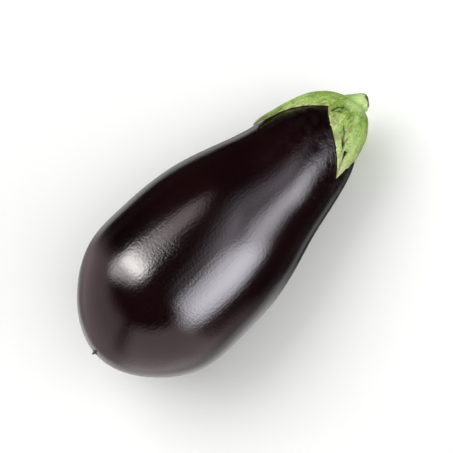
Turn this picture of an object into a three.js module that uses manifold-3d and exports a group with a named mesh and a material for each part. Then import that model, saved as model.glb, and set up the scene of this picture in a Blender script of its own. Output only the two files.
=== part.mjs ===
// An eggplant, lying on its side. Millimetres, +Z up, +X toward the stem.
//
// Every piece is shaped in the fruit's own frame: its axis runs along X from the blossom end at 0 to the
// crown. Round that axis, a turn of 0 degrees faces -Y and 90 degrees faces +Z. The last group lays the
// fruit down: the neck droops until the belly's lowest point, under the centre of mass, is level. A small
// flat spot is cut there, and its centre is the origin.

import * as THREE from 'three';
import { mergeVertices } from 'three/addons/utils/BufferGeometryUtils.js';
import Module from 'manifold-3d';

// Fruit: stations are along the axis from the blossom end, and handles shape the outline between them.
const FRUIT_LENGTH = 194;
const BELLY_STATION = 51;
const BELLY_RADIUS = 49;
const NECK_STATION = 131.6;
const NECK_RADIUS = 36.5;
const NECK_TAPER = 0.39; // radius lost for each millimetre along the axis
const BLUNT_END_HANDLE = 22.3;
const BELLY_BACK_HANDLE = 25.4;
const BELLY_FRONT_HANDLE = 35.8;
const NECK_BACK_HANDLE = 32;
const NECK_FRONT_HANDLE = 6.7;
const SHOULDER_HANDLE = 26.5;
const FRUIT_SIDES = 60;
const STEPS_PER_STRETCH = 12;

// Rest: where the belly touches, and how deep the flat spot is cut into it.
const REST_STATION = 92;
const REST_DEPTH = 0.9;
const FLOOR_BLOCK = 400;

// Calyx: reach is measured over the skin from the centre of the crown.
const GAP = 0.3;
const CROWN_STATION = 199.8;
const CROWN_RADIUS = 7;
const SHOULDER_REACH = 13;
const CALYX_THICKNESS = 7.2;
const EDGE_THICKNESS = 1.3;
const CALYX_SIDES = 72;
const CALYX_RINGS = 9;
const LOBE_TIP_SHARPNESS = 6;
const LOBE_STRAIGHT_SHARE = 0.7;
// Each lobe lies between two notches. The last notch is the first one again, a full turn on.
const NOTCHES = [
  { turn: -25, reach: 18 },
  { turn: 110, reach: 17 },
  { turn: 205, reach: 20 },
  { turn: 270, reach: 19 },
  { turn: 335, reach: 18 },
];
const LOBES = [
  { tip: 24.5, reach: 46.8, lift: 0.8 },
  { tip: 137, reach: 59, lift: 0.8 },
  { tip: 238, reach: 47, lift: 1 },
  { tip: 303, reach: 45, lift: 0.8 },
];

// Stem: a short cut stub that bends to one side as it leaves the crown.
const STEM_LENGTH = 6.6;
const STEM_BASE_RADIUS = 7.4;
const STEM_END_RADIUS = 5.5;
const STEM_BEND = 34;
const STEM_BEND_TURN = 340;
const STEM_SIDES = 28;
const STEM_RINGS = 7;

// Blossom scar: a low dry pad with a short nib, a little off the fruit's axis.
const SCAR_OFFSET = 6.8;
const SCAR_TURN = 79;
const SCAR_PAD_RADIUS = 1.8;
const SCAR_PAD_HEIGHT = 0.5;
const SCAR_PAD_TOP_SHARE = 0.7; // the pad's top is this much of its full width
const SCAR_NIB_RADIUS = 0.8;
const SCAR_NIB_LENGTH = 1.9;
const SCAR_NIB_TIP_SHARE = 0.6; // the nib's blunt tip is this much of its full width
const SCAR_SIDES = 16;

// Finishes: a colour and how matt it is.
const SKIN = { color: 0x1c0f18, roughness: 0.22 };
const CALYX_GREEN = { color: 0x8fb955, roughness: 0.5 };
const STEM_GREEN = { color: 0x9dc26a, roughness: 0.6 };
const DRY_BROWN = { color: 0x3a2a1e, roughness: 0.85 };

const FULL_TURN = 360;
const MERGE_DISTANCE = 0.0001;
const HALVINGS = 40;

const wasm = await Module();
wasm.setup();

const radians = THREE.MathUtils.degToRad;

function point2(x, y) {
  return new THREE.Vector2(x, y);
}

// The unit vector that leaves the axis at a turn.
function spoke(turn) {
  return new THREE.Vector3(0, -Math.cos(radians(turn)), Math.sin(radians(turn)));
}

// Half of the fruit's outline, as (station, radius), from the blossom end to the top under the crown.
function fruitOutline() {
  const belly = point2(BELLY_STATION, BELLY_RADIUS);
  const neck = point2(NECK_STATION, NECK_RADIUS);
  const outline = new THREE.CurvePath();
  outline.add(new THREE.CubicBezierCurve(
    point2(0, 0),
    point2(0, BLUNT_END_HANDLE),
    point2(BELLY_STATION - BELLY_BACK_HANDLE, BELLY_RADIUS),
    belly,
  ));
  outline.add(new THREE.CubicBezierCurve(
    belly,
    point2(BELLY_STATION + BELLY_FRONT_HANDLE, BELLY_RADIUS),
    point2(NECK_STATION - NECK_BACK_HANDLE, NECK_RADIUS + NECK_BACK_HANDLE * NECK_TAPER),
    neck,
  ));
  outline.add(new THREE.CubicBezierCurve(
    neck,
    point2(NECK_STATION + NECK_FRONT_HANDLE, NECK_RADIUS - NECK_FRONT_HANDLE * NECK_TAPER),
    point2(FRUIT_LENGTH, SHOULDER_HANDLE),
    point2(FRUIT_LENGTH, 0),
  ));
  return outline;
}

// Keeps positions only, merges shared corners and drops the triangles that a pole flattens to nothing.
function closedGeometry(geometry) {
  const bare = geometry.clone();
  bare.deleteAttribute('normal');
  bare.deleteAttribute('uv');
  const merged = mergeVertices(bare, MERGE_DISTANCE);
  const corners = merged.index.array;
  const kept = [];
  for (let i = 0; i < corners.length; i += 3) {
    const [a, b, c] = corners.slice(i, i + 3);
    if (a !== b && b !== c && c !== a) {
      kept.push(a, b, c);
    }
  }
  merged.setIndex(kept);
  return merged;
}

// A solid turned round the X axis from a (station, radius) outline that starts and ends on the axis.
function turned(outline, sides) {
  const profile = outline.map((p) => point2(Math.max(p.y, 0), p.x));
  const lathe = new THREE.LatheGeometry(profile, sides);
  return closedGeometry(lathe.rotateZ(-Math.PI / 2));
}

// A closed skin over rings of points, with a pole at the middle of the first and the last ring.
function lofted(rings) {
  const sides = rings[0].length;
  const middle = (ring) => ring.reduce((sum, p) => sum.add(p), new THREE.Vector3()).divideScalar(sides);
  const points = [...rings.flat(), middle(rings[0]), middle(rings.at(-1))];
  const firstPole = points.length - 2;
  const lastPole = points.length - 1;
  const lastRing = (rings.length - 1) * sides;
  const corners = [];
  for (let side = 0; side < sides; side += 1) {
    const next = (side + 1) % sides;
    corners.push(firstPole, next, side);
    corners.push(lastPole, lastRing + side, lastRing + next);
    for (let row = 0; row < lastRing; row += sides) {
      corners.push(row + side, row + next, row + sides + side);
      corners.push(row + next, row + sides + next, row + sides + side);
    }
  }
  const geometry = new THREE.BufferGeometry().setFromPoints(points);
  geometry.setIndex(corners);
  return geometry;
}

function toSolid(geometry) {
  const vertProperties = new Float32Array(geometry.attributes.position.array);
  const triVerts = new Uint32Array(geometry.index.array);
  return new wasm.Manifold(new wasm.Mesh({ numProp: 3, vertProperties, triVerts }));
}

function fromSolid(solid) {
  const { vertProperties, triVerts } = solid.getMesh();
  const geometry = new THREE.BufferGeometry();
  geometry.setAttribute('position', new THREE.BufferAttribute(vertProperties, 3));
  geometry.setIndex(new THREE.BufferAttribute(triVerts, 1));
  return geometry;
}

function finished(name, geometry, finish) {
  geometry.computeVertexNormals();
  const material = new THREE.MeshStandardMaterial({ ...finish, metalness: 0 });
  const mesh = new THREE.Mesh(geometry, material);
  mesh.name = name;
  return mesh;
}

const outline = fruitOutline();

// The outline's point at a station on the belly or neck, and the slope there, by halving.
function outlineAt(station) {
  let low = 0;
  let high = 1;
  for (let step = 0; step < HALVINGS; step += 1) {
    const half = (low + high) / 2;
    if (outline.getPoint(half).x < station) {
      low = half;
    } else {
      high = half;
    }
  }
  return { point: outline.getPoint(low), tangent: outline.getTangent(low) };
}

// Lays the fruit down with the rest station's underside level and the flat spot's centre at the origin.
function lyingGroup() {
  const { point, tangent } = outlineAt(REST_STATION);
  const droop = Math.atan2(-tangent.y, tangent.x);
  const lowest = new THREE.Vector3(point.x, 0, -point.y);
  lowest.applyAxisAngle(new THREE.Vector3(0, 1, 0), droop);
  const group = new THREE.Group();
  group.rotation.y = droop;
  group.position.set(-lowest.x, 0, -lowest.z - REST_DEPTH);
  group.updateMatrix();
  return group;
}

function fruit(lying) {
  const stretches = outline.curves.map((curve) => curve.getPoints(STEPS_PER_STRETCH));
  const profile = stretches.flatMap((points, i) => (i === 0 ? points : points.slice(1)));
  const whole = toSolid(turned(profile, FRUIT_SIDES));
  const belowFloor = new THREE.BoxGeometry(FLOOR_BLOCK, FLOOR_BLOCK, FLOOR_BLOCK);
  belowFloor.translate(0, 0, -FLOOR_BLOCK / 2);
  belowFloor.applyMatrix4(lying.matrix.clone().invert());
  const cut = whole.subtract(toSolid(closedGeometry(belowFloor)));
  return finished('fruit', fromSolid(cut), SKIN);
}

// The calyx's edge at a turn. Its reach runs straight from each notch, then is drawn out to a point.
function lobeEdge(turn) {
  const index = LOBES.findIndex((_, i) => turn <= NOTCHES[i + 1].turn);
  const lobe = LOBES[index];
  const start = NOTCHES[index];
  const end = NOTCHES[index + 1];
  const notch = turn < lobe.tip ? start : end;
  const along = (turn - notch.turn) / (lobe.tip - notch.turn);
  const share = LOBE_STRAIGHT_SHARE * along
    + (1 - LOBE_STRAIGHT_SHARE) * along ** LOBE_TIP_SHARPNESS;
  const spread = Math.sin((Math.PI * (turn - start.turn)) / (end.turn - start.turn));
  return { reach: THREE.MathUtils.lerp(notch.reach, lobe.reach, share), lift: lobe.lift * spread };
}

// A point over the fruit's skin: reach from the crown, and height above the skin.
function overSkin(turn, reach, height) {
  const along = 1 - reach / outline.getLength();
  const point = outline.getPoint(along);
  const tangent = outline.getTangent(along);
  const station = point.x - tangent.y * height;
  const radius = point.y + tangent.x * height;
  return { station, radius };
}

function calyx() {
  const crownHeight = CROWN_STATION - FRUIT_LENGTH - GAP;
  const ring = (part, outside) => {
    const points = [];
    for (let side = 0; side < CALYX_SIDES; side += 1) {
      const turn = NOTCHES[0].turn + (side * FULL_TURN) / CALYX_SIDES;
      const edge = lobeEdge(turn);
      const reach = Math.max(edge.reach * part, CROWN_RADIUS * part);
      const lift = edge.lift * Math.sin(Math.PI * part);
      const shoulder = THREE.MathUtils.smoothstep(reach, 0, SHOULDER_REACH);
      const body = THREE.MathUtils.lerp(CALYX_THICKNESS, EDGE_THICKNESS, part);
      const thickness = THREE.MathUtils.lerp(crownHeight, body, shoulder);
      const { station, radius } = overSkin(turn, reach, GAP + lift + (outside ? thickness : 0));
      const point = spoke(turn).multiplyScalar(radius);
      point.x = Math.min(station, CROWN_STATION);
      points.push(point);
    }
    return points;
  };
  const parts = Array.from({ length: CALYX_RINGS }, (_, i) => (i + 1) / CALYX_RINGS);
  const outer = parts.map((part) => ring(part, true));
  const inner = parts.map((part) => ring(part, false)).reverse();
  return finished('calyx', lofted([...outer, ...inner]), CALYX_GREEN);
}

function stem() {
  const start = new THREE.Vector3(CROWN_STATION + GAP, 0, 0);
  const aside = spoke(STEM_BEND_TURN);
  const rings = [];
  for (let row = 0; row <= STEM_RINGS; row += 1) {
    const along = row / STEM_RINGS;
    const lean = radians(STEM_BEND) * along;
    const forward = new THREE.Vector3(1, 0, 0);
    const heading = forward.clone().multiplyScalar(Math.cos(lean)).addScaledVector(aside, Math.sin(lean));
    const across = aside.clone().multiplyScalar(Math.cos(lean)).addScaledVector(forward, -Math.sin(lean));
    const beside = new THREE.Vector3().crossVectors(heading, across);
    const centre = start.clone().addScaledVector(heading, STEM_LENGTH * along);
    const radius = THREE.MathUtils.lerp(STEM_END_RADIUS, STEM_BASE_RADIUS, (1 - along) ** 2);
    const ring = [];
    for (let side = 0; side < STEM_SIDES; side += 1) {
      const angle = (2 * Math.PI * side) / STEM_SIDES;
      ring.push(centre.clone()
        .addScaledVector(across, radius * Math.cos(angle))
        .addScaledVector(beside, radius * Math.sin(angle)));
    }
    rings.push(ring);
  }
  return finished('stem', lofted(rings), STEM_GREEN);
}

// The scar is shaped on the axis, then swung aside about the centre of the blunt end's curve.
function blossomScar() {
  const padEnd = -SCAR_PAD_HEIGHT;
  const tip = -SCAR_NIB_LENGTH;
  const profile = [
    point2(tip, 0),
    point2(tip, SCAR_NIB_RADIUS * SCAR_NIB_TIP_SHARE),
    point2(padEnd, SCAR_NIB_RADIUS),
    point2(padEnd, SCAR_PAD_RADIUS * SCAR_PAD_TOP_SHARE),
    point2(0, SCAR_PAD_RADIUS),
    point2(0, 0),
  ];
  const scar = finished('blossom_scar', turned(profile, SCAR_SIDES), DRY_BROWN);
  // A cubic curve starts with 3/2 of its first handle squared, over its second handle's depth, as radius.
  const endRadius = (3 * BLUNT_END_HANDLE ** 2) / (2 * (BELLY_STATION - BELLY_BACK_HANDLE));
  const swing = Math.asin(SCAR_OFFSET / endRadius);
  const backward = new THREE.Vector3(-1, 0, 0);
  const aside = spoke(SCAR_TURN).multiplyScalar(Math.sin(swing));
  const leaning = aside.addScaledVector(backward, Math.cos(swing));
  const pivot = new THREE.Group();
  pivot.position.x = endRadius;
  pivot.quaternion.setFromUnitVectors(backward, leaning);
  scar.position.x = -endRadius - GAP;
  return pivot.add(scar);
}

const lying = lyingGroup();
lying.add(fruit(lying), calyx(), stem(), blossomScar());

const eggplant = new THREE.Group();
eggplant.add(lying);

export default eggplant;
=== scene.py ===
"""An eggplant, lying on its side: its finished pieces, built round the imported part.

Every piece is shaped in the fruit's own frame, as the part is: the axis runs along X from the blossom
end at 0 to the crown, and round that axis a turn of 0 degrees faces -Y and 90 degrees faces +Z. It is
then laid down with the belly's flat spot on the floor. Lengths are metres.
"""

import math
import random
from bisect import bisect_left
from collections import namedtuple
from contextlib import contextmanager

import bpy
from mathutils import Matrix, Vector, noise
from mathutils.geometry import interpolate_bezier


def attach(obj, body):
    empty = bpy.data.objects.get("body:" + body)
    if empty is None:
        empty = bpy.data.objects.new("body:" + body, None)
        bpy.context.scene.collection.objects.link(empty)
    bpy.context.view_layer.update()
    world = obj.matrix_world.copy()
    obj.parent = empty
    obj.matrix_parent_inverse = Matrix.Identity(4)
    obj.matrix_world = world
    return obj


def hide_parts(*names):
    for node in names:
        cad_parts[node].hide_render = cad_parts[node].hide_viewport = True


bl_info = {
    "name": "Eggplant Finish",
    "version": (1, 0, 0),
    "blender": (4, 5, 0),
    "location": "3D View > Sidebar > Eggplant",
    "description": "Builds the fruit, calyx, stem and blossom scar of an eggplant, and a pale studio",
    "category": "Add Mesh",
}

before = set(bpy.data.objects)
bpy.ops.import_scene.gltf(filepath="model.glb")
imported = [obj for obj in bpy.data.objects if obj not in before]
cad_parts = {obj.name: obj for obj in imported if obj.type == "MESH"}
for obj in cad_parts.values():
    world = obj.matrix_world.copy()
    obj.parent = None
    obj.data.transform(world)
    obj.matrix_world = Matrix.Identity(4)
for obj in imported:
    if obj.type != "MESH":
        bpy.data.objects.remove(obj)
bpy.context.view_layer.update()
SAME_PLACE = 0.00001  # closer than this, two places are one

# The fruit's outline, which its own piece, the calyx and the scar are all shaped on.
ARC_SAMPLES = 300  # points on each of its curves
OUTLINE_SPACING = 0.00125
SOFTEN_REACH = 0.009  # how far along the outline its changes of bend are evened out
SOFTEN_SPAN = 4  # how many of those reaches count on either side
NECK_GIRTH_RADIUS = 0.027  # turns a difference of turn into a width on the calyx
WANDER_LAYERS = (97.0, 111.0)  # which layers of the noise wander across the calyx and along it


def size(name, description, default):
    return bpy.props.FloatProperty(
        name=name, description=description, default=default, precision=4, unit="LENGTH", subtype="DISTANCE"
    )


def share(name, description, default):
    return bpy.props.FloatProperty(
        name=name, description=description, default=default, min=0.0, max=1.0, subtype="FACTOR"
    )


def tint(name, description, default):
    return bpy.props.FloatVectorProperty(
        name=name, description=description, default=(*default, 1.0), size=4, min=0.0, max=1.0, subtype="COLOR"
    )


def brightness(name, description, default):
    return bpy.props.FloatProperty(name=name, description=description, default=default, min=0.0)


class FruitSizes(bpy.types.PropertyGroup):
    """The fruit's outline, from the blossom end to the crown, and where it rests."""

    length: size("Length", "From the blossom end to the top under the crown", 0.194)
    belly_station: size("Belly station", "Where the belly is widest", 0.051)
    belly_radius: size("Belly radius", "Half of the greatest width", 0.049)
    neck_station: size("Neck station", "Where the neck turns in toward the shoulder", 0.1316)
    neck_radius: size("Neck radius", "Half of the neck's width at that station", 0.0365)
    neck_taper: bpy.props.FloatProperty(
        name="Neck taper", description="Radius lost for each metre along the axis", default=0.39
    )
    blunt_end_handle: size("Blunt end handle", "How flat the blossom end is", 0.0223)
    belly_back_handle: size("Belly back handle", "How full the belly is toward the blossom end", 0.0254)
    belly_front_handle: size("Belly front handle", "How far the belly runs toward the neck", 0.0358)
    neck_back_handle: size("Neck back handle", "How straight the neck runs from the belly", 0.032)
    neck_front_handle: size("Neck front handle", "How soon the neck turns in", 0.0067)
    shoulder_handle: size("Shoulder handle", "How broad the top under the crown is", 0.0265)
    rest_station: size("Rest station", "Where the belly touches the floor", 0.092)
    rest_depth: size("Rest depth", "How deep the flat spot is cut", 0.0009)


class CalyxSizes(bpy.types.PropertyGroup):
    """The fleshy green cap and its sepals."""

    gap: size("Gap", "Between the skin and the calyx", 0.0002)
    crown_station: size("Crown station", "Top of the calyx along the fruit's axis", 0.1998)
    shoulder_reach: size("Shoulder reach", "Where the crown has turned into the sepals", 0.013)
    fillet_height: size("Fillet height", "How far the flesh climbs toward the stem", 0.0014)
    fillet_reach: size("Fillet reach", "Where that climb starts", 0.0145)
    thickness: size("Thickness", "Flesh at the base of the sepals", 0.0072)
    edge_thickness: size("Edge thickness", "Flesh at the sepals' edges", 0.0008)
    raggedness: size("Raggedness", "How far the sepals' edges stray", 0.0005)


class StemSizes(bpy.types.PropertyGroup):
    """The cut stub of the stem."""

    length: size("Length", "From the crown to the cut", 0.0066)
    base_radius: size("Base radius", "At the crown", 0.0084)
    end_radius: size("End radius", "At the cut", 0.0056)
    corner_wear: size("Corner wear", "How far the cut is rounded back on the side it leans to", 0.0027)
    bend: bpy.props.FloatProperty(
        name="Bend", description="How far the stub leans", default=math.radians(34), unit="ROTATION"
    )
    bend_turn: bpy.props.FloatProperty(
        name="Bend turn", description="Which way the stub leans", default=math.radians(340), unit="ROTATION"
    )


class ScarSizes(bpy.types.PropertyGroup):
    """The dry scar that the flower left."""

    pad_radius: size("Pad radius", "Half of the dry pad's width", 0.0017)
    pad_height: size("Pad height", "How far the pad stands up", 0.0004)
    nib_radius: size("Nib radius", "Half of the nib's width", 0.0008)
    nib_length: size("Nib length", "How far the nib stands up", 0.0018)
    offset: size("Offset", "From the fruit's axis, over the skin", 0.0068)
    turn: bpy.props.FloatProperty(
        name="Turn", description="Which way the scar lies", default=math.radians(79), unit="ROTATION"
    )


class Finishes(bpy.types.PropertyGroup):
    """The colours and gloss of every piece."""

    skin_deep: tint("Deep skin", "Darkest skin", (0.0036, 0.0010, 0.0012))
    skin_wine: tint("Wine skin", "Redder skin", (0.0092, 0.0024, 0.0030))
    skin_roughness: share("Skin roughness", "How soft the skin's reflections are", 0.14)
    dust: tint("Dust grey", "Scuffed skin", (0.110, 0.095, 0.100))
    leaf: tint("Leaf green", "Calyx near the crown", (0.225, 0.410, 0.026))
    # Deep green is also painted as shade in and beside the calyx's grooves.
    leaf_deep: tint("Deep green", "Creases and darker patches", (0.095, 0.150, 0.014))
    leaf_pale: tint("Pale green", "Sepals toward their tips", (0.430, 0.590, 0.165))
    stem_pale: tint("Stem green", "Stem toward its cut", (0.530, 0.740, 0.265))
    tan: tint("Tan", "Worn patches", (0.245, 0.262, 0.080))
    cream: tint("Cream", "Sepal edges", (0.660, 0.650, 0.330))
    scab: tint("Scab brown", "Corky scabs and dry edges", (0.195, 0.150, 0.045))
    dry: tint("Dry brown", "Dead tissue", (0.038, 0.022, 0.014))


class StudioSettings(bpy.types.PropertyGroup):
    """Floor, light and camera."""

    floor: tint("Floor", "Plain pale floor", (0.93, 0.93, 0.92))
    key_power: brightness("Key power", "Watts of the large lamp behind and above", 15.0)
    fill_power: brightness("Fill power", "Watts of the lamp in front", 21.0)
    overhead_power: brightness("Overhead power", "Watts of the broad lamp overhead", 42.0)
    azimuth: bpy.props.FloatProperty(
        name="Azimuth", description="Camera round the fruit", default=math.radians(8), unit="ROTATION"
    )
    elevation: bpy.props.FloatProperty(
        name="Elevation", description="Camera above the floor", default=math.radians(70), unit="ROTATION"
    )
    roll: bpy.props.FloatProperty(
        name="Roll", description="Camera about its own axis", default=math.radians(53.732), unit="ROTATION"
    )
    distance: size("Distance", "From the camera to what it looks at", 0.83846)
    aim: bpy.props.FloatVectorProperty(
        name="Aim", description="What the camera looks at", default=(0.01471, 0.00102, 0.04538), subtype="XYZ"
    )
    lens: bpy.props.FloatProperty(name="Lens", description="Focal length in millimetres", default=120.0)


# ---------------------------------------------------------------- modelling helpers


def select_only(piece):
    bpy.ops.object.select_all(action="DESELECT")
    piece.select_set(True)
    bpy.context.view_layer.objects.active = piece


@contextmanager
def edit_mode(piece, mode="VERT"):
    """Edit mode on one piece, with nothing in it selected."""
    select_only(piece)
    bpy.ops.object.mode_set(mode="EDIT")
    bpy.ops.mesh.select_mode(type=mode)
    bpy.ops.mesh.select_all(action="DESELECT")
    yield
    bpy.ops.object.mode_set(mode="OBJECT")


def select_where(piece, test, kind="vertices"):
    """Selects, from inside edit mode, the vertices or faces that pass a test."""
    bpy.ops.object.mode_set(mode="OBJECT")
    for item in getattr(piece.data, kind):
        item.select = test(item)
    bpy.ops.object.mode_set(mode="EDIT")


def close_up(piece):
    """Merges the vertices that meet at seams and poles, and turns every face outward."""
    with edit_mode(piece):
        bpy.ops.mesh.select_all(action="SELECT")
        bpy.ops.mesh.remove_doubles(threshold=SAME_PLACE)
        bpy.ops.mesh.normals_make_consistent(inside=False)


def apply_modifier(piece, kind, **settings):
    select_only(piece)
    modifier = piece.modifiers.new(kind.title(), kind)
    for name, value in settings.items():
        setattr(modifier, name, value)
    bpy.ops.object.modifier_apply(modifier=modifier.name)


def store(piece, name, values, kind="FLOAT_VECTOR"):
    """Keeps a value for each vertex, where the piece's material can read it."""
    attribute = piece.data.attributes.new(name, kind, "POINT")
    field = "color" if kind == "FLOAT_COLOR" else "vector"
    for item, value in zip(attribute.data, values):
        setattr(item, field, value)


def disc(name, sides, radius, station, facing):
    """A new piece that starts as a flat disc across the axis, and faces up along it (1) or back (-1)."""
    bpy.ops.object.select_all(action="DESELECT")
    bpy.ops.mesh.primitive_circle_add(
        vertices=sides,
        radius=radius,
        fill_type="NGON",
        location=(station, 0, 0),
        rotation=(0, facing * math.pi / 2, 0),
    )
    piece = bpy.context.object
    piece.name = piece.data.name = name
    bpy.ops.object.transform_apply(location=True, rotation=True, scale=True)
    return piece


def piece_end(piece):
    """The middle of a piece's far end along X, read from inside edit mode."""
    piece.update_from_editmode()
    return Vector((max(vertex.co.x for vertex in piece.data.vertices), 0, 0))


def smoothstep(low, high, value):
    """0 at low and 1 at high, whichever of them is greater, and eased between them."""
    along = min(max((value - low) / (high - low), 0.0), 1.0)
    return along * along * (3 - 2 * along)


def lerp(first, second, along):
    return first + (second - first) * along


def spoke(turn):
    """The unit vector that leaves the fruit's axis at a turn in degrees."""
    angle = math.radians(turn)
    return Vector((0, -math.cos(angle), math.sin(angle)))


def bezier_point(corners, along):
    """A point on a cubic curve past four (turn, reach) corners."""
    back = 1 - along
    weights = (back**3, 3 * back * back * along, 3 * back * along * along, along**3)
    return tuple(sum(w * corner[axis] for w, corner in zip(weights, corners)) for axis in (0, 1))


def distance_to(place, start, end):
    """How far a place is from the nearest point of a straight stretch."""
    run = end - start
    along = min(max((place - start).dot(run) / run.length_squared, 0.0), 1.0)
    return (place - start - run * along).length


def wandering(place, wave):
    """A smooth push one way or another in the plane, changing over about this length."""
    spot = place.to_3d() / wave
    return Vector([noise.noise(spot + Vector((0, 0, layer))) for layer in WANDER_LAYERS])


def nearness(turn, reach, patch):
    """1 in the middle of a patch of the calyx, fading to 0 past half of its width and length."""
    across = math.radians(turn - patch.turn) * NECK_GIRTH_RADIUS / patch.half_width
    along = (reach - patch.reach) / patch.half_length
    return math.exp(-across * across - along * along)


def strongest(turn, reach, washes):
    """How much of the strongest wash a place has, from 0 to 1."""
    return max(wash.amount * nearness(turn, reach, wash) for wash in washes)


def drawn_outline(fruit):
    """Half of the fruit's outline as the part draws it: (station, radius) points from the blossom end."""
    taper = fruit.neck_taper
    blunt, crown = Vector((0, 0)), Vector((fruit.length, 0))
    belly = Vector((fruit.belly_station, fruit.belly_radius))
    neck = Vector((fruit.neck_station, fruit.neck_radius))
    belly_back = belly - Vector((fruit.belly_back_handle, 0))
    belly_front = belly + Vector((fruit.belly_front_handle, 0))
    neck_back = neck + Vector((-1, taper)) * fruit.neck_back_handle
    neck_front = neck + Vector((1, -taper)) * fruit.neck_front_handle
    stretches = (
        (blunt, blunt + Vector((0, fruit.blunt_end_handle)), belly_back, belly),
        (belly, belly_front, neck_back, neck),
        (neck, neck_front, crown + Vector((0, fruit.shoulder_handle)), crown),
    )
    points = [blunt]
    for stretch in stretches:
        points += interpolate_bezier(*stretch, ARC_SAMPLES)[1:]
    return points


def reaches_along(points):
    """How far each point of a line is from its start, along it."""
    reaches = [0.0]
    for last, point in zip(points, points[1:]):
        reaches.append(reaches[-1] + (point - last).length)
    return reaches


def evenly_spaced(points, spacing):
    """The same line with its points an equal reach apart."""
    reaches = reaches_along(points)
    count = round(reaches[-1] / spacing)
    spaced = []
    for step in range(count + 1):
        reach = reaches[-1] * step / count
        index = min(max(bisect_left(reaches, reach), 1), len(points) - 1)
        along = (reach - reaches[index - 1]) / (reaches[index] - reaches[index - 1])
        spaced.append(points[index - 1].lerp(points[index], along))
    return spaced


def averaged(points, spacing, reach):
    """Each point as the average of its neighbours over a reach, with the line mirrored at both ends."""
    span = round(SOFTEN_SPAN * reach / spacing)
    weights = [math.exp(-0.5 * (step * spacing / reach) ** 2) for step in range(-span, span + 1)]
    before = [Vector((point.x, -point.y)) for point in points[span:0:-1]]
    after = [Vector((point.x, -point.y)) for point in points[-2 : -span - 2 : -1]]
    line = [*before, *points, *after]
    made = []
    for start in range(len(points)):
        near = line[start : start + len(weights)]
        made.append(sum((w * p for w, p in zip(weights, near)), Vector((0, 0))) / sum(weights))
    return made


def softened(points, spacing, reach):
    """Evens out a line's changes of bend. The second pass gives back the fullness that the first took off."""
    once = averaged(points, spacing, reach)
    lost = averaged([point - soft for point, soft in zip(points, once)], spacing, reach)
    return [soft + back for soft, back in zip(once, lost)]


class Outline:
    """The softened half outline, measured along it from the crown."""

    def __init__(self, fruit):
        drawn = evenly_spaced(drawn_outline(fruit), OUTLINE_SPACING)
        self.points = softened(drawn, OUTLINE_SPACING, SOFTEN_REACH)[::-1]
        self.reaches = reaches_along(self.points)

    def at(self, reach):
        """The point at a reach from the crown, and the unit direction there back toward the crown."""
        index = min(max(bisect_left(self.reaches, reach), 1), len(self.points) - 2)
        outer, inner = self.points[index], self.points[index - 1]
        along = (reach - self.reaches[index - 1]) / (self.reaches[index] - self.reaches[index - 1])
        ahead = self.points[index - 2] if index > 1 else Vector((inner.x, -outer.y))
        behind = self.points[index + 1]
        heading = (ahead - outer).lerp(inner - behind, along)
        return inner.lerp(outer, along), heading.normalized()

    def at_station(self, station):
        """The point and direction at a station on the belly or neck."""
        index = next(i for i, point in enumerate(self.points) if point.x < station)
        return self.at(self.reaches[index])

    def over_skin(self, turn, reach, height):
        """A point at a height over the skin."""
        point, heading = self.at(reach)
        station = point.x - heading.y * height
        radius = point.y + heading.x * height
        return Vector((station, 0, 0)) + spoke(turn) * radius


def lying_place(fruit):
    """The droop of the laid fruit, and where its blossom end goes, as the part's own lying group has them."""
    points = drawn_outline(fruit)
    index = next(i for i, point in enumerate(points) if point.x > fruit.rest_station)
    point, heading = points[index], points[index] - points[index - 1]
    droop = math.atan2(-heading.y, heading.x)
    lowest = Matrix.Rotation(droop, 3, "Y") @ Vector((point.x, 0, -point.y))
    return droop, Vector((-lowest.x, 0, -lowest.z - fruit.rest_depth))


def lay_down(piece):
    """Lays a piece shaped in the fruit's own frame down on the floor, with its place in its mesh."""
    droop, place = lying_place(bpy.context.scene.eggplant_fruit)
    select_only(piece)
    piece.rotation_euler = (0, droop, 0)
    piece.location = place
    bpy.ops.object.transform_apply(location=True, rotation=True, scale=True)


def finish_piece(piece, node, material, smooth_angle=60):
    """Gives a piece its material and smooth shading, hangs it on the root body and hides its node of the
    part.
    """
    piece.data.materials.clear()
    piece.data.materials.append(material)
    select_only(piece)
    bpy.ops.object.shade_smooth_by_angle(angle=math.radians(smooth_angle))
    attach(piece, "root")
    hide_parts(node)


# ---------------------------------------------------------------- node helpers


def add_node(tree, kind, inputs=None, **settings):
    """A new node. Each input takes a plain value or the socket that feeds it."""
    made = tree.nodes.new(kind)
    for name, value in settings.items():
        setattr(made, name, value)
    for name, value in (inputs or {}).items():
        if isinstance(value, bpy.types.NodeSocket):
            tree.links.new(value, made.inputs[name])
        else:
            made.inputs[name].default_value = value
    return made


def maths(tree, operation, *values, clamp=False):
    return add_node(
        tree, "ShaderNodeMath", dict(enumerate(values)), operation=operation, use_clamp=clamp
    ).outputs[0]


def remap(tree, value, low, high, to_low=0.0, to_high=1.0, smooth=True):
    """Takes a value from one range to another, held at both ends."""
    inputs = {"Value": value, "From Min": low, "From Max": high, "To Min": to_low, "To Max": to_high}
    kind = "SMOOTHSTEP" if smooth else "LINEAR"
    return add_node(tree, "ShaderNodeMapRange", inputs, interpolation_type=kind).outputs[0]


def sway(tree, mask, middle, amount, base, clamp=False):
    """A value pushed up or down by how far a mask is from its middle."""
    off = maths(tree, "SUBTRACT", mask, middle)
    return maths(tree, "MULTIPLY_ADD", off, amount, base, clamp=clamp)


# Which sockets of a Mix node hold its share, its two colours and its mixed colour.
MIX_SHARE, MIX_FIRST, MIX_SECOND, MIXED = 0, 6, 7, 2


def blend(tree, along, first, second, kind="MIX"):
    """A mix of two colours."""
    inputs = {MIX_SHARE: along, MIX_FIRST: first, MIX_SECOND: second}
    return add_node(tree, "ShaderNodeMix", inputs, data_type="RGBA", blend_type=kind).outputs[MIXED]


def separate(tree, vector):
    """The three numbers of a vector."""
    return add_node(tree, "ShaderNodeSeparateXYZ", {0: vector}).outputs


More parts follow.
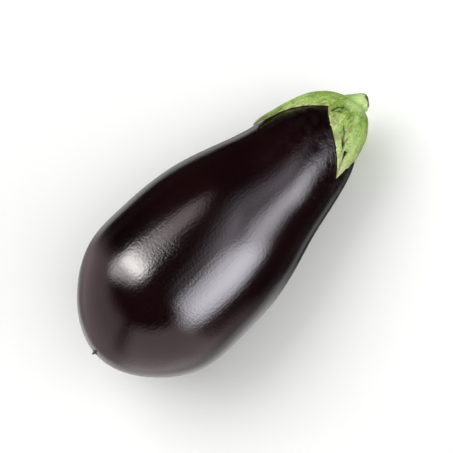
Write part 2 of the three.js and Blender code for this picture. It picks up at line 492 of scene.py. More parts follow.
def stored(tree, name):
    """What a piece keeps for each vertex under a name."""
    return add_node(tree, "ShaderNodeAttribute", attribute_name=name).outputs


NUMBER, VECTOR, COLOUR = "NodeSocketFloat", "NodeSocketVector", "NodeSocketColor"


def new_group(name, inputs, outputs):
    """An empty node group, from the names and types of its sockets."""
    tree = bpy.data.node_groups.new(name, "ShaderNodeTree")
    for label, kind in inputs.items():
        tree.interface.new_socket(label, in_out="INPUT", socket_type=kind)
    for label, kind in outputs.items():
        tree.interface.new_socket(label, in_out="OUTPUT", socket_type=kind)
    return tree, tree.nodes.new("NodeGroupInput").outputs, tree.nodes.new("NodeGroupOutput").inputs


def use_group(tree, name, build, inputs):
    """Places a shared node group, which is built the first time that it is asked for."""
    group = bpy.data.node_groups.get(name) or build(name)
    return add_node(tree, "ShaderNodeGroup", inputs, node_tree=group).outputs[0]


def blotches_group(name):
    """Soft uneven patches of a given size."""
    inputs = {"Vector": VECTOR, "Size": NUMBER, "Detail": NUMBER, "Contrast": NUMBER}
    tree, given, made = new_group(name, inputs, {"Mask": NUMBER})
    scale = maths(tree, "DIVIDE", 1.0, given["Size"])
    field = add_node(
        tree, "ShaderNodeTexNoise", {"Vector": given["Vector"], "Scale": scale, "Detail": given["Detail"]}
    ).outputs[0]
    low = maths(tree, "SUBTRACT", 0.5, given["Contrast"])
    high = maths(tree, "ADD", 0.5, given["Contrast"])
    tree.links.new(remap(tree, field, low, high), made["Mask"])
    return tree


def blotches(tree, vector, size, detail, contrast):
    inputs = {"Vector": vector, "Size": size, "Detail": detail, "Contrast": contrast}
    return use_group(tree, "Blotches", blotches_group, inputs)


def specks_group(name):
    """Sparse round dots: one may lie in each cell of a given size."""
    inputs = {"Vector": VECTOR, "Cell": NUMBER, "Radius": NUMBER, "Share": NUMBER}
    tree, given, made = new_group(name, inputs, {"Mask": NUMBER})
    scale = maths(tree, "DIVIDE", 1.0, given["Cell"])
    cells = add_node(tree, "ShaderNodeTexVoronoi", {"Vector": given["Vector"], "Scale": scale}).outputs
    far = maths(tree, "MULTIPLY", cells["Distance"], given["Cell"])
    inside = remap(tree, far, given["Radius"], 0.0)
    chance = add_node(tree, "ShaderNodeSeparateColor", {"Color": cells["Color"]}).outputs[0]
    chosen = maths(tree, "LESS_THAN", chance, given["Share"])
    tree.links.new(maths(tree, "MULTIPLY", inside, chosen), made["Mask"])
    return tree


def specks(tree, vector, cell, radius, share_of_cells):
    inputs = {"Vector": vector, "Cell": cell, "Radius": radius, "Share": share_of_cells}
    return use_group(tree, "Specks", specks_group, inputs)


def fibres_group(name):
    """Fine strands that run along X."""
    inputs = {"Vector": VECTOR, "Width": NUMBER, "Length": NUMBER}
    tree, given, made = new_group(name, inputs, {"Strand": NUMBER})
    across = maths(tree, "DIVIDE", 1.0, given["Width"])
    along = maths(tree, "DIVIDE", 1.0, given["Length"])
    stretch = add_node(tree, "ShaderNodeCombineXYZ", {"X": along, "Y": across, "Z": across}).outputs[0]
    spread = add_node(
        tree, "ShaderNodeVectorMath", {0: given["Vector"], 1: stretch}, operation="MULTIPLY"
    ).outputs[0]
    field = add_node(tree, "ShaderNodeTexNoise", {"Vector": spread, "Scale": 1.0, "Detail": 3.0}).outputs[0]
    tree.links.new(remap(tree, field, 0.3, 0.7, smooth=False), made["Strand"])
    return tree


def fibres(tree, vector, width, length):
    inputs = {"Vector": vector, "Width": width, "Length": length}
    return use_group(tree, "Fibres", fibres_group, inputs)


def green_flesh_group(name):
    """The living green of the calyx and stem: uneven, streaked, and paler where it is asked to be."""
    inputs = {
        "Vector": VECTOR,
        "Along": VECTOR,
        "Pale": NUMBER,
        "Leaf": COLOUR,
        "Deep": COLOUR,
        "Light": COLOUR,
    }
    tree, given, made = new_group(name, inputs, {"Color": COLOUR})
    broad = blotches(tree, given["Vector"], size=0.011, detail=2.0, contrast=0.22)
    close = blotches(tree, given["Vector"], size=0.0032, detail=4.0, contrast=0.2)
    strand = fibres(tree, given["Along"], width=0.0011, length=0.012)
    lift = sway(tree, broad, 0.5, 0.55, given["Pale"])
    lift = sway(tree, strand, 0.5, 0.35, lift, clamp=True)
    flesh = blend(tree, lift, given["Leaf"], given["Light"])
    shade = remap(tree, close, 0.5, 0.0, 0.0, 0.4)
    tree.links.new(blend(tree, shade, flesh, given["Deep"]), made["Color"])
    return tree


def green_flesh(tree, vector, along, pale, light):
    """Green flesh streaked along a vector, that turns from the leaf's green to a lighter one."""
    finish = bpy.context.scene.eggplant_finish
    inputs = {
        "Vector": vector,
        "Along": along,
        "Pale": pale,
        "Leaf": tuple(finish.leaf),
        "Deep": tuple(finish.leaf_deep),
        "Light": tuple(light),
    }
    return use_group(tree, "Green Flesh", green_flesh_group, inputs)


def new_material(name):
    """A material with an unlinked Principled shader."""
    material = bpy.data.materials.new(name)
    material.use_nodes = True
    tree = material.node_tree
    shader = next(node for node in tree.nodes if node.type == "BSDF_PRINCIPLED")
    return material, tree, shader


def bump(tree, height, distance, under=None):
    """A bump of a real height, laid over another normal if one is given."""
    inputs = {"Height": height, "Distance": distance, "Strength": 1.0}
    if under is not None:
        inputs["Normal"] = under
    return add_node(tree, "ShaderNodeBump", inputs).outputs[0]


def fruit_frame_vector(tree):
    """Object coordinates turned back into the fruit's own frame, so X runs along its axis."""
    droop, place = lying_place(bpy.context.scene.eggplant_fruit)
    coordinates = add_node(tree, "ShaderNodeTexCoord").outputs["Object"]
    return add_node(
        tree,
        "ShaderNodeMapping",
        {"Vector": coordinates, "Location": place, "Rotation": (0, droop, 0)},
        vector_type="TEXTURE",
    ).outputs[0]


# Fine dust has settled on the skin that faces this way, and roughens its gloss at flat angles.
DUSTY_SIDE = (0.05, -0.34, 0.94)
DUST_SPREAD = (0.42, 0.75)  # how squarely the skin faces that way where the dust starts, and where it is full
FLAT_ANGLES = (0.38, 0.56)  # how flat the angle is where it starts to tell, and where it tells fully
DUST_ROUGHNESS = 0.45


def settled_dust(tree):
    """How much dust dulls the skin: on its dusty side only, and where it is seen at a flat angle."""
    normal = add_node(tree, "ShaderNodeTexCoord").outputs["Normal"]
    facing = add_node(
        tree, "ShaderNodeVectorMath", {0: normal, 1: DUSTY_SIDE}, operation="DOT_PRODUCT"
    ).outputs["Value"]
    flatness = add_node(tree, "ShaderNodeLayerWeight", {"Blend": 0.5}).outputs["Facing"]
    dusty = remap(tree, facing, *DUST_SPREAD)
    return maths(tree, "MULTIPLY", dusty, remap(tree, flatness, *FLAT_ANGLES))


def skin_material():
    """Dark purple skin: glossy, finely grained, with pores, dusty on top and scuffed near the calyx."""
    finish = bpy.context.scene.eggplant_finish
    material, tree, shader = new_material("Eggplant Skin")
    vector = fruit_frame_vector(tree)
    station = separate(tree, vector)[0]
    tone = blotches(tree, vector, size=0.045, detail=3.0, contrast=0.3)
    grain = blotches(tree, vector, size=0.0012, detail=4.0, contrast=0.5)
    strand = fibres(tree, vector, width=0.0016, length=0.020)
    scuffed = blotches(tree, vector, size=0.005, detail=6.0, contrast=0.14)
    pores = specks(tree, vector, cell=0.0042, radius=0.00024, share_of_cells=0.3)
    near_calyx = remap(tree, station, 0.140, 0.170)
    scuffs = maths(tree, "MULTIPLY", scuffed, near_calyx)
    skin = blend(tree, tone, tuple(finish.skin_deep), tuple(finish.skin_wine))
    skin = blend(tree, maths(tree, "MULTIPLY", scuffs, 0.015), skin, tuple(finish.dust))
    skin = blend(tree, maths(tree, "MULTIPLY", pores, 0.3), skin, tuple(finish.scab))
    tree.links.new(skin, shader.inputs["Base Color"])
    rough = sway(tree, grain, 0.5, 0.08, finish.skin_roughness)
    rough = maths(tree, "MULTIPLY_ADD", pores, 0.2, rough)
    rough = maths(tree, "MULTIPLY_ADD", scuffs, 0.10, rough)
    rough = maths(tree, "MULTIPLY_ADD", settled_dust(tree), DUST_ROUGHNESS, rough)
    tree.links.new(rough, shader.inputs["Roughness"])
    rise = maths(tree, "MULTIPLY_ADD", scuffs, 2.8, 1.0)
    normal = bump(tree, strand, 0.000025)
    normal = bump(tree, maths(tree, "MULTIPLY", grain, rise), 0.00005, normal)
    normal = bump(tree, pores, 0.00005, normal)
    tree.links.new(normal, shader.inputs["Normal"])
    shader.inputs["IOR"].default_value = 1.48
    return material


def calyx_material():
    """Green sepals: mottled flesh, tan worn patches and edges, corky scabs, dark dots and dead grooves;
    painted shade round the grooves and painted light at the stem's foot.
    """
    finish = bpy.context.scene.eggplant_finish
    material, tree, shader = new_material("Calyx Flesh")
    vector = fruit_frame_vector(tree)
    sepal = stored(tree, "sepal")["Vector"]
    reach = separate(tree, sepal)[0]
    marks = stored(tree, "marks")
    edge, groove, worn = separate(tree, marks["Vector"])
    corky = marks["Alpha"]
    at_tip, at_stem, faded = separate(tree, stored(tree, "ends")["Vector"])
    close = blotches(tree, vector, size=0.0018, detail=3.0, contrast=0.25)
    fine = blotches(tree, vector, size=0.0012, detail=3.0, contrast=0.2)
    patchy = blotches(tree, vector, size=0.006, detail=5.0, contrast=0.12)
    strand = fibres(tree, sepal, width=0.0009, length=0.010)
    dots = specks(tree, vector, cell=0.0021, radius=0.0005, share_of_cells=0.35)

    flesh = green_flesh(tree, vector, sepal, remap(tree, reach, 0.008, 0.036, 0.0, 0.75), finish.leaf_pale)
    # The stem's paler green, which is also painted light over the shade where the crown meets the stem.
    flesh = blend(tree, remap(tree, at_stem, 0.2, 0.7, 0.0, 0.8), flesh, tuple(finish.stem_pale))
    flesh = blend(tree, remap(tree, fine, 0.35, 0.0, 0.0, 0.4), flesh, tuple(finish.cream))
    tanned = sway(tree, patchy, 0.6, 0.45, worn)
    tanned = sway(tree, close, 0.5, 0.7, tanned)
    flesh = blend(tree, remap(tree, tanned, 0.1, 0.9, 0.0, 0.8), flesh, tuple(finish.tan))
    flesh = blend(tree, remap(tree, at_tip, 0.84, 0.98, 0.0, 0.75), flesh, tuple(finish.cream))
    flesh = blend(tree, maths(tree, "MULTIPLY", faded, 0.7), flesh, tuple(finish.cream))

    wander = maths(tree, "MULTIPLY_ADD", close, -0.0012, edge)
    flesh = blend(tree, remap(tree, wander, 0.0003, -0.0009, 0.0, 0.75), flesh, tuple(finish.cream))
    dry_edge = remap(tree, wander, 0.0003, -0.0007)
    dry_edge = maths(tree, "MULTIPLY", dry_edge, remap(tree, patchy, 0.2, 0.7))
    flesh = blend(tree, maths(tree, "MULTIPLY", dry_edge, 0.8), flesh, tuple(finish.scab))
    # Painted shade: the deep green darkens the grooves and a halo of flesh beside them.
    flesh = blend(tree, remap(tree, groove, 0.02, 0.4, 0.0, 0.55), flesh, tuple(finish.leaf_deep))

    rough_place = remap(tree, patchy, 0.3, 0.8, 0.25, 0.6)
    rough_place = maths(tree, "ADD", rough_place, maths(tree, "MULTIPLY", worn, 0.6), clamp=True)
    mottle = maths(tree, "MULTIPLY", remap(tree, fine, 0.55, 0.95), rough_place)
    flesh = blend(tree, maths(tree, "MULTIPLY", mottle, 0.45), flesh, tuple(finish.leaf_deep))
    corkiness = sway(tree, fine, 0.5, 0.6, corky)
    flesh = blend(tree, remap(tree, corkiness, 0.3, 0.75, 0.0, 0.8), flesh, tuple(finish.scab))
    dotted = maths(tree, "MULTIPLY", dots, rough_place)
    flesh = blend(tree, maths(tree, "MULTIPLY", dotted, 0.9), flesh, tuple(finish.scab))
    deadness = remap(tree, groove, 0.35, 0.75)
    deadness = maths(tree, "MULTIPLY", deadness, remap(tree, fine, 0.0, 0.8, 0.6, 1.0))
    flesh = blend(tree, deadness, flesh, tuple(finish.dry))
    tree.links.new(flesh, shader.inputs["Base Color"])

    tree.links.new(remap(tree, close, 0.0, 1.0, 0.5, 0.68), shader.inputs["Roughness"])
    normal = bump(tree, strand, 0.0004)
    normal = bump(tree, close, 0.0003, normal)
    normal = bump(tree, fine, 0.00012, normal)
    tree.links.new(normal, shader.inputs["Normal"])
    shader.inputs["IOR"].default_value = 1.4
    return material


def stem_material():
    """The stub's paler green, with a dry dark rim and a fibrous pith where it was cut."""
    finish = bpy.context.scene.eggplant_finish
    material, tree, shader = new_material("Stem Flesh")
    vector = fruit_frame_vector(tree)
    cut, ring, paleness = separate(tree, stored(tree, "marks")["Vector"])
    close = blotches(tree, vector, size=0.0009, detail=4.0, contrast=0.3)
    patchy = blotches(tree, vector, size=0.003, detail=4.0, contrast=0.15)
    strand = fibres(tree, vector, width=0.0008, length=0.008)
    flesh = green_flesh(tree, vector, vector, paleness, finish.stem_pale)
    flesh = blend(tree, remap(tree, close, 0.6, 1.0, 0.0, 0.4), flesh, tuple(finish.tan))
    pith = blend(tree, close, tuple(finish.cream), tuple(finish.scab))
    flesh = blend(tree, cut, flesh, pith)
    wander = sway(tree, patchy, 0.5, 0.9, ring)
    flesh = blend(tree, remap(tree, wander, 0.45, 0.8, 0.0, 0.9), flesh, tuple(finish.dry))
    tree.links.new(flesh, shader.inputs["Base Color"])
    tree.links.new(remap(tree, cut, 0.0, 1.0, 0.45, 0.8), shader.inputs["Roughness"])
    normal = bump(tree, strand, 0.0002)
    normal = bump(tree, close, 0.00012, normal)
    tree.links.new(normal, shader.inputs["Normal"])
    shader.inputs["IOR"].default_value = 1.4
    return material


def scar_material():
    """Corky brown, nearly black in its cracks."""
    finish = bpy.context.scene.eggplant_finish
    material, tree, shader = new_material("Dry Scar")
    vector = fruit_frame_vector(tree)
    close = blotches(tree, vector, size=0.0006, detail=4.0, contrast=0.25)
    bark = blend(tree, maths(tree, "MULTIPLY", close, 0.25), tuple(finish.dry), tuple(finish.scab))
    tree.links.new(bark, shader.inputs["Base Color"])
    tree.links.new(remap(tree, close, 0.0, 1.0, 0.7, 0.9), shader.inputs["Roughness"])
    tree.links.new(bump(tree, close, 0.00015), shader.inputs["Normal"])
    return material


# ---------------------------------------------------------------- pieces


# How finely the fruit is turned, and how its rounded shape strays from a true turned one.
SPIN_STEPS = 240
# Each swell pushes the skin at a station and a turn along its normal, in if the push is negative, and fades
# out over a reach.
Swell = namedtuple("Swell", "station turn push fade")
SWELLS = (
    Swell(0.006, 300, 0.0010, 0.030),
    Swell(0.030, 340, 0.0004, 0.045),
    Swell(0.022, 150, -0.0008, 0.050),
    Swell(0.148, 150, -0.0010, 0.021),
    Swell(0.118, 350, -0.0007, 0.040),
    Swell(0.172, 355, 0.0008, 0.022),
    Swell(0.144, 58, 0.0017, 0.034),
)
LUMP_SIZE = 0.034
LUMP_HEIGHT = 0.00035


class EGGPLANT_OT_fruit(bpy.types.Operator):
    """Turn the fruit's outline round its axis, swell it out of true, lay it down and flatten its rest"""

    bl_idname = "eggplant.fruit"
    bl_label = "Fruit"

    def execute(self, context):
        outline = Outline(context.scene.eggplant_fruit)
        fruit = self.turned_outline(outline)
        self.swell(fruit, outline)
        lay_down(fruit)
        self.flatten_rest(fruit)
        finish_piece(fruit, "fruit", skin_material())
        return {"FINISHED"}

    def turned_outline(self, outline):
        bpy.ops.object.select_all(action="DESELECT")
        bpy.ops.curve.primitive_nurbs_path_add(location=(0, 0, 0))
        piece = bpy.context.object
        piece.name = piece.data.name = "eggplant_fruit"
        line = piece.data.splines[0]
        line.type = "POLY"
        line.points.add(len(outline.points) - len(line.points))
        for knot, point in zip(line.points, outline.points):
            knot.co = (point.x, 0, point.y, 1)
        bpy.ops.object.convert(target="MESH")
        with edit_mode(piece):
            bpy.ops.mesh.select_all(action="SELECT")
            bpy.ops.mesh.spin(steps=SPIN_STEPS, angle=math.tau, center=(0, 0, 0), axis=(1, 0, 0))
        close_up(piece)
        return piece

    def swell(self, piece, outline):
        """Pushes places on the skin out or in with proportional editing, then adds faint lumps."""
        for swell in SWELLS:
            point, heading = outline.at_station(swell.station)
            at = Vector((point.x, 0, 0)) + spoke(swell.turn) * point.y
            normal = Vector((-heading.y, 0, 0)) + spoke(swell.turn) * heading.x
            nearest = min(piece.data.vertices, key=lambda vertex: (vertex.co - at).length_squared).index
            with edit_mode(piece):
                select_where(piece, lambda vertex: vertex.index == nearest)
                bpy.ops.transform.translate(
                    value=normal * swell.push,
                    orient_type="GLOBAL",
                    use_proportional_edit=True,
                    proportional_edit_falloff="SMOOTH",
                    proportional_size=swell.fade,
                )
        lumps = bpy.data.textures.new("Fruit Lumps", "CLOUDS")
        lumps.noise_scale = LUMP_SIZE
        lumps.noise_depth = 1
        apply_modifier(
            piece, "DISPLACE", texture=lumps, strength=LUMP_HEIGHT, mid_level=0.5, texture_coords="LOCAL"
        )

    def flatten_rest(self, piece):
        with edit_mode(piece):
            bpy.ops.mesh.select_all(action="SELECT")
            bpy.ops.mesh.bisect(
                plane_co=(0, 0, 0), plane_no=(0, 0, 1), use_fill=True, clear_inner=True, threshold=0.000001
            )


# Four sepals between four notches. A notch and a tip are (turn, reach), with the reach measured
# over the skin from the middle of the crown, and each edge curves between them past two control points.
Sepal = namedtuple("Sepal", "notch first tip second base_turn lift curl ragged columns")
SEPALS = (
    Sepal((-25, 0.0180), ((-8, 0.0264), (16, 0.0304)), (24.5, 0.0468), ((44, 0.0320), (82, 0.0262)),
          35, 0.0008, 0.0004, (1.0, 0.45), (70, 130)),
    Sepal((110, 0.0170), ((133, 0.0270), (156, 0.0400)), (137, 0.0590), ((172, 0.0460), (186, 0.0300)),
          150, 0.0002, 0.0009, (0.45, 1.0), (86, 70)),
    Sepal((205, 0.0200), ((217, 0.0300), (231, 0.0340)), (238, 0.0470), ((244, 0.0340), (258, 0.0290)),
          237, 0.0010, 0.0010, (0.9, 0.9), (64, 64)),
    Sepal((270, 0.0190), ((281, 0.0280), (297, 0.0330)), (303, 0.0450), ((308, 0.0330), (322, 0.0290)),
          303, 0.0008, 0.0012, (0.9, 0.9), (64, 64)),
)
FULL_TURN = 360
CROWN_DISC = 0.0025  # the cap's grid starts this far from the middle of the crown
CLIMB_TOP = 0.006  # the flesh has climbed all the way to the stem by this reach
CLIMB_TURN = 45  # the side on which it climbs highest
OUTER_ROWS = 80
RIM_ROWS = 7
INNER_ROWS = 16
COLUMN_PULL = 1.5  # how late a column leaves its straight path to head for the tip
CURL_START = 0.72  # how far out a sepal starts to curl away from the skin
CURL_POWER = 4  # how closely the curl keeps to the columns at the tip
# Each stray makes the edges ragged: its share of the raggedness, and the size of its waves.
EDGE_STRAYS = ((0.7, 0.0030), (0.5, 0.0011))
CALM_ENDS = (0.08, 0.94)  # outside these shares of a side, it runs calmly into its notch and its tip
LOOK_AHEAD = 0.01  # how much further along a side its heading is read from
# Each rib runs down a sepal from the crown to the tip: its turn at the base, its height, which is negative
# for a hollow, and its width in degrees.
Rib = namedtuple("Rib", "turn height width")
RIBS = (
    Rib(8, 0.0007, 7),
    Rib(150, 0.0006, 9),
    Rib(186, -0.0024, 22),
    Rib(237, 0.0008, 8),
    Rib(303, 0.0008, 8),
)
RIB_POWER = 0.8  # below 1, a rib is highest nearer the crown than the tip
RELIEF_START = 0.25  # how far out the relief has risen from the smooth crown
RELIEF_END_POWER = 6  # how late it sinks again before the edge
# Broad lumps follow the sepals: height, and how often they come round the calyx and along a sepal.
BROAD_LUMPS = ((0.00040, 6, 1.4), (0.00018, 17, 3.0))
# Small lumps lie anywhere: height and size.
SMALL_LUMPS = ((0.00035, 0.0070), (0.00018, 0.0030), (0.00007, 0.0013))
HALO = 1.5  # how much wider than a groove the painted shade of darker flesh beside it is
DEAD_SPREAD = (0.25, 0.75)  # how far into a groove its dead tissue starts, and where it is full
DEEPEST_SHARE = 0.8  # how much of the flesh the deepest groove may cut through
# Each wander pushes a groove off its line: how far, and the size of its waves.
GROOVE_WANDERS = ((0.0009, 0.0024), (0.0003, 0.0009))
WIDTH_STRAY = 0.7  # how much of its width a groove gains or loses
WIDTH_STRAY_SIZE = 0.0022
WIDTH_LAYER = 5  # which layer of the noise its width is read from
# Each groove runs past (turn, reach) points. Darkness: dead tissue lining it, and painted shade round it.
Groove = namedtuple("Groove", "points half_width depth darkness")
GROOVES = (
    Groove(((60, 0.0232), (53.5, 0.0252), (51.5, 0.0268), (49, 0.0293), (43.5, 0.0322)), 0.0006, 0.0014, 0.9),
    Groove(((43.5, 0.0322), (40.5, 0.0350)), 0.0005, 0.0006, 0.6),
    Groove(((33, 0.0380), (32, 0.0400), (28, 0.0430)), 0.0006, 0.0005, 0.5),
    Groove(((92, 0.0190), (91, 0.0165), (88, 0.0146), (82, 0.0132), (76, 0.0130)), 0.0015, 0.0018, 0.9),
    Groove(((76, 0.0130), (68, 0.0131)), 0.0012, 0.0007, 0.15),
    Groove(((88, 0.0206), (84, 0.0196), (79, 0.0188)), 0.0008, 0.0006, 0.8),
    Groove(((64, 0.0160), (63, 0.0190), (60, 0.0232), (50, 0.0276)), 0.0036, 0.0014, 0.0),
    Groove(((30, 0.0120), (14, 0.0200), (12, 0.0290)), 0.0016, 0.0006, 0.1),
    Groove(((105, 0.0186), (112, 0.0130), (116, 0.0105)), 0.0014, 0.0005, 0.05),
    Groove(((205, 0.0200), (203, 0.0130), (206, 0.0090)), 0.0014, 0.0007, 0.25),
    Groove(((270, 0.0190), (268, 0.0130), (264, 0.0090)), 0.0014, 0.0007, 0.25),
    Groove(((-25, 0.0180), (-20, 0.0120), (-24, 0.0090)), 0.0014, 0.0007, 0.15),
    Groove(((230, 0.0150), (236, 0.0260), (234, 0.0360)), 0.0008, 0.0006, 0.5),
    Groove(((160, 0.0130), (176, 0.0150), (190, 0.0130)), 0.0010, 0.0008, 0.3),
    Groove(((310, 0.0140), (300, 0.0230), (306, 0.0300)), 0.0012, 0.0007, 0.2),
)
# Each fold swells up round its middle, or sinks if its height is negative: turn, reach, height, and half of
# its width and length.
Fold = namedtuple("Fold", "turn reach height half_width half_length")
FOLDS = (
    Fold(78, 0.0200, 0.0022, 0.0060, 0.0042),
    Fold(60, 0.0190, 0.0010, 0.0030, 0.0050),
    Fold(34, 0.0190, 0.0016, 0.0070, 0.0080),
    Fold(68, 0.0300, 0.0010, 0.0038, 0.0060),
    Fold(20, 0.0340, 0.0010, 0.0050, 0.0070),
    Fold(52, 0.0370, 0.0007, 0.0030, 0.0060),
    Fold(126, 0.0270, 0.0009, 0.0050, 0.0090),
    Fold(118, 0.0150, 0.0008, 0.0070, 0.0050),
    Fold(72, 0.0112, -0.0014, 0.0075, 0.0035),
    Fold(250, 0.0210, 0.0012, 0.0060, 0.0070),
    Fold(318, 0.0200, 0.0010, 0.0060, 0.0070),
)
# Each wash is a soft patch of colour: turn, reach, half of its width and length, and how strong it is.
Wash = namedtuple("Wash", "turn reach half_width half_length amount")
# Where the sepals are worn and tan.
WORN_PLACES = (
    Wash(78, 0.0270, 0.0045, 0.0110, 0.9),
    Wash(60, 0.0340, 0.0040, 0.0080, 0.9),
    Wash(58, 0.0188, 0.0016, 0.0030, 1.0),
    Wash(51.6, 0.0226, 0.0016, 0.0030, 1.0),
    Wash(39.5, 0.0378, 0.0018, 0.0035, 0.9),
    Wash(2, 0.0260, 0.0040, 0.0090, 0.6),
    Wash(122, 0.0280, 0.0035, 0.0140, 0.5),
    Wash(137, 0.0560, 0.0060, 0.0070, 0.9),
    Wash(205, 0.0260, 0.0050, 0.0070, 0.6),
    Wash(238, 0.0430, 0.0060, 0.0070, 0.8),
    Wash(303, 0.0410, 0.0060, 0.0070, 0.8),
)
# Where the stem's paler green spreads onto the calyx, and is also painted light over the shade round the
# stem's foot.
STEM_GREEN_AND_PAINTED_LIGHT = (
    Wash(72, 0.0055, 0.0240, 0.0076, 0.85),
    Wash(52, 0.0160, 0.0045, 0.0055, 0.6),
    Wash(34, 0.0155, 0.0050, 0.0055, 0.42),
)
# Where a sepal has faded almost to cream.
FADED = (Wash(26, 0.0420, 0.0050, 0.0060, 1.0),)
# Each tooth is a small point on one side of a sepal (0 up to its tip, 1 back down): where along that side
# it stands, how far it sticks out and how much of the side it takes.
Tooth = namedtuple("Tooth", "sepal side along height width")
TEETH = (
    Tooth(0, 0, 0.52, 0.0014, 0.020),
    Tooth(0, 0, 0.74, 0.0006, 0.020),
    Tooth(0, 1, 0.62, 0.0006, 0.020),
    Tooth(0, 1, 0.30, 0.0004, 0.015),
    Tooth(1, 0, 0.86, 0.0009, 0.025),
    Tooth(1, 1, 0.12, 0.0014, 0.020),
    Tooth(1, 1, 0.40, 0.0008, 0.020),
    Tooth(2, 0, 0.70, 0.0012, 0.020),
    Tooth(2, 1, 0.35, 0.0009, 0.025),
    Tooth(3, 0, 0.60, 0.0010, 0.020),
    Tooth(3, 1, 0.25, 0.0012, 0.020),
)
# Each scab is a corky patch: its turn and reach, and half of its width and length.
Scab = namedtuple("Scab", "turn reach half_width half_length")
SCABS = (
    Scab(57, 0.0185, 0.0008, 0.0018),
    Scab(8, 0.0150, 0.0020, 0.0016),
    Scab(20, 0.0185, 0.0012, 0.0022),
    Scab(82, 0.0226, 0.0012, 0.0010),
    Scab(45, 0.0285, 0.0008, 0.0030),
    Scab(18, 0.0236, 0.0007, 0.0012),
    Scab(16.5, 0.0330, 0.0007, 0.0010),
    Scab(4, 0.0240, 0.0012, 0.0030),
    Scab(168, 0.0300, 0.0014, 0.0030),
    Scab(246, 0.0280, 0.0016, 0.0030),
    Scab(318, 0.0220, 0.0014, 0.0026),
)
# Each split is a narrow wedge cut right through a sepal, wide toward the crown, and leaning aside.
Split = namedtuple("Split", "turn reach length width lean")
SPLITS = (
    Split(36.2, 0.0350, 0.0036, 0.0012, 18),
    Split(138.5, 0.0555, 0.0060, 0.0006, 4),
)
SPLIT_MIDDLE = 0.0015  # how high over the skin the wedge is centred
SPLIT_DEPTH = 0.012  # of the wedge, which is far deeper than the flesh

# A column runs from the crown to a sepal's edge. A spot is where it meets a row, with what is stored there.
Column = namedtuple("Column", "base_turn edge_turn edge_reach tip_reach lift curl")
Spot = namedtuple("Spot", "place sepal marks ends")


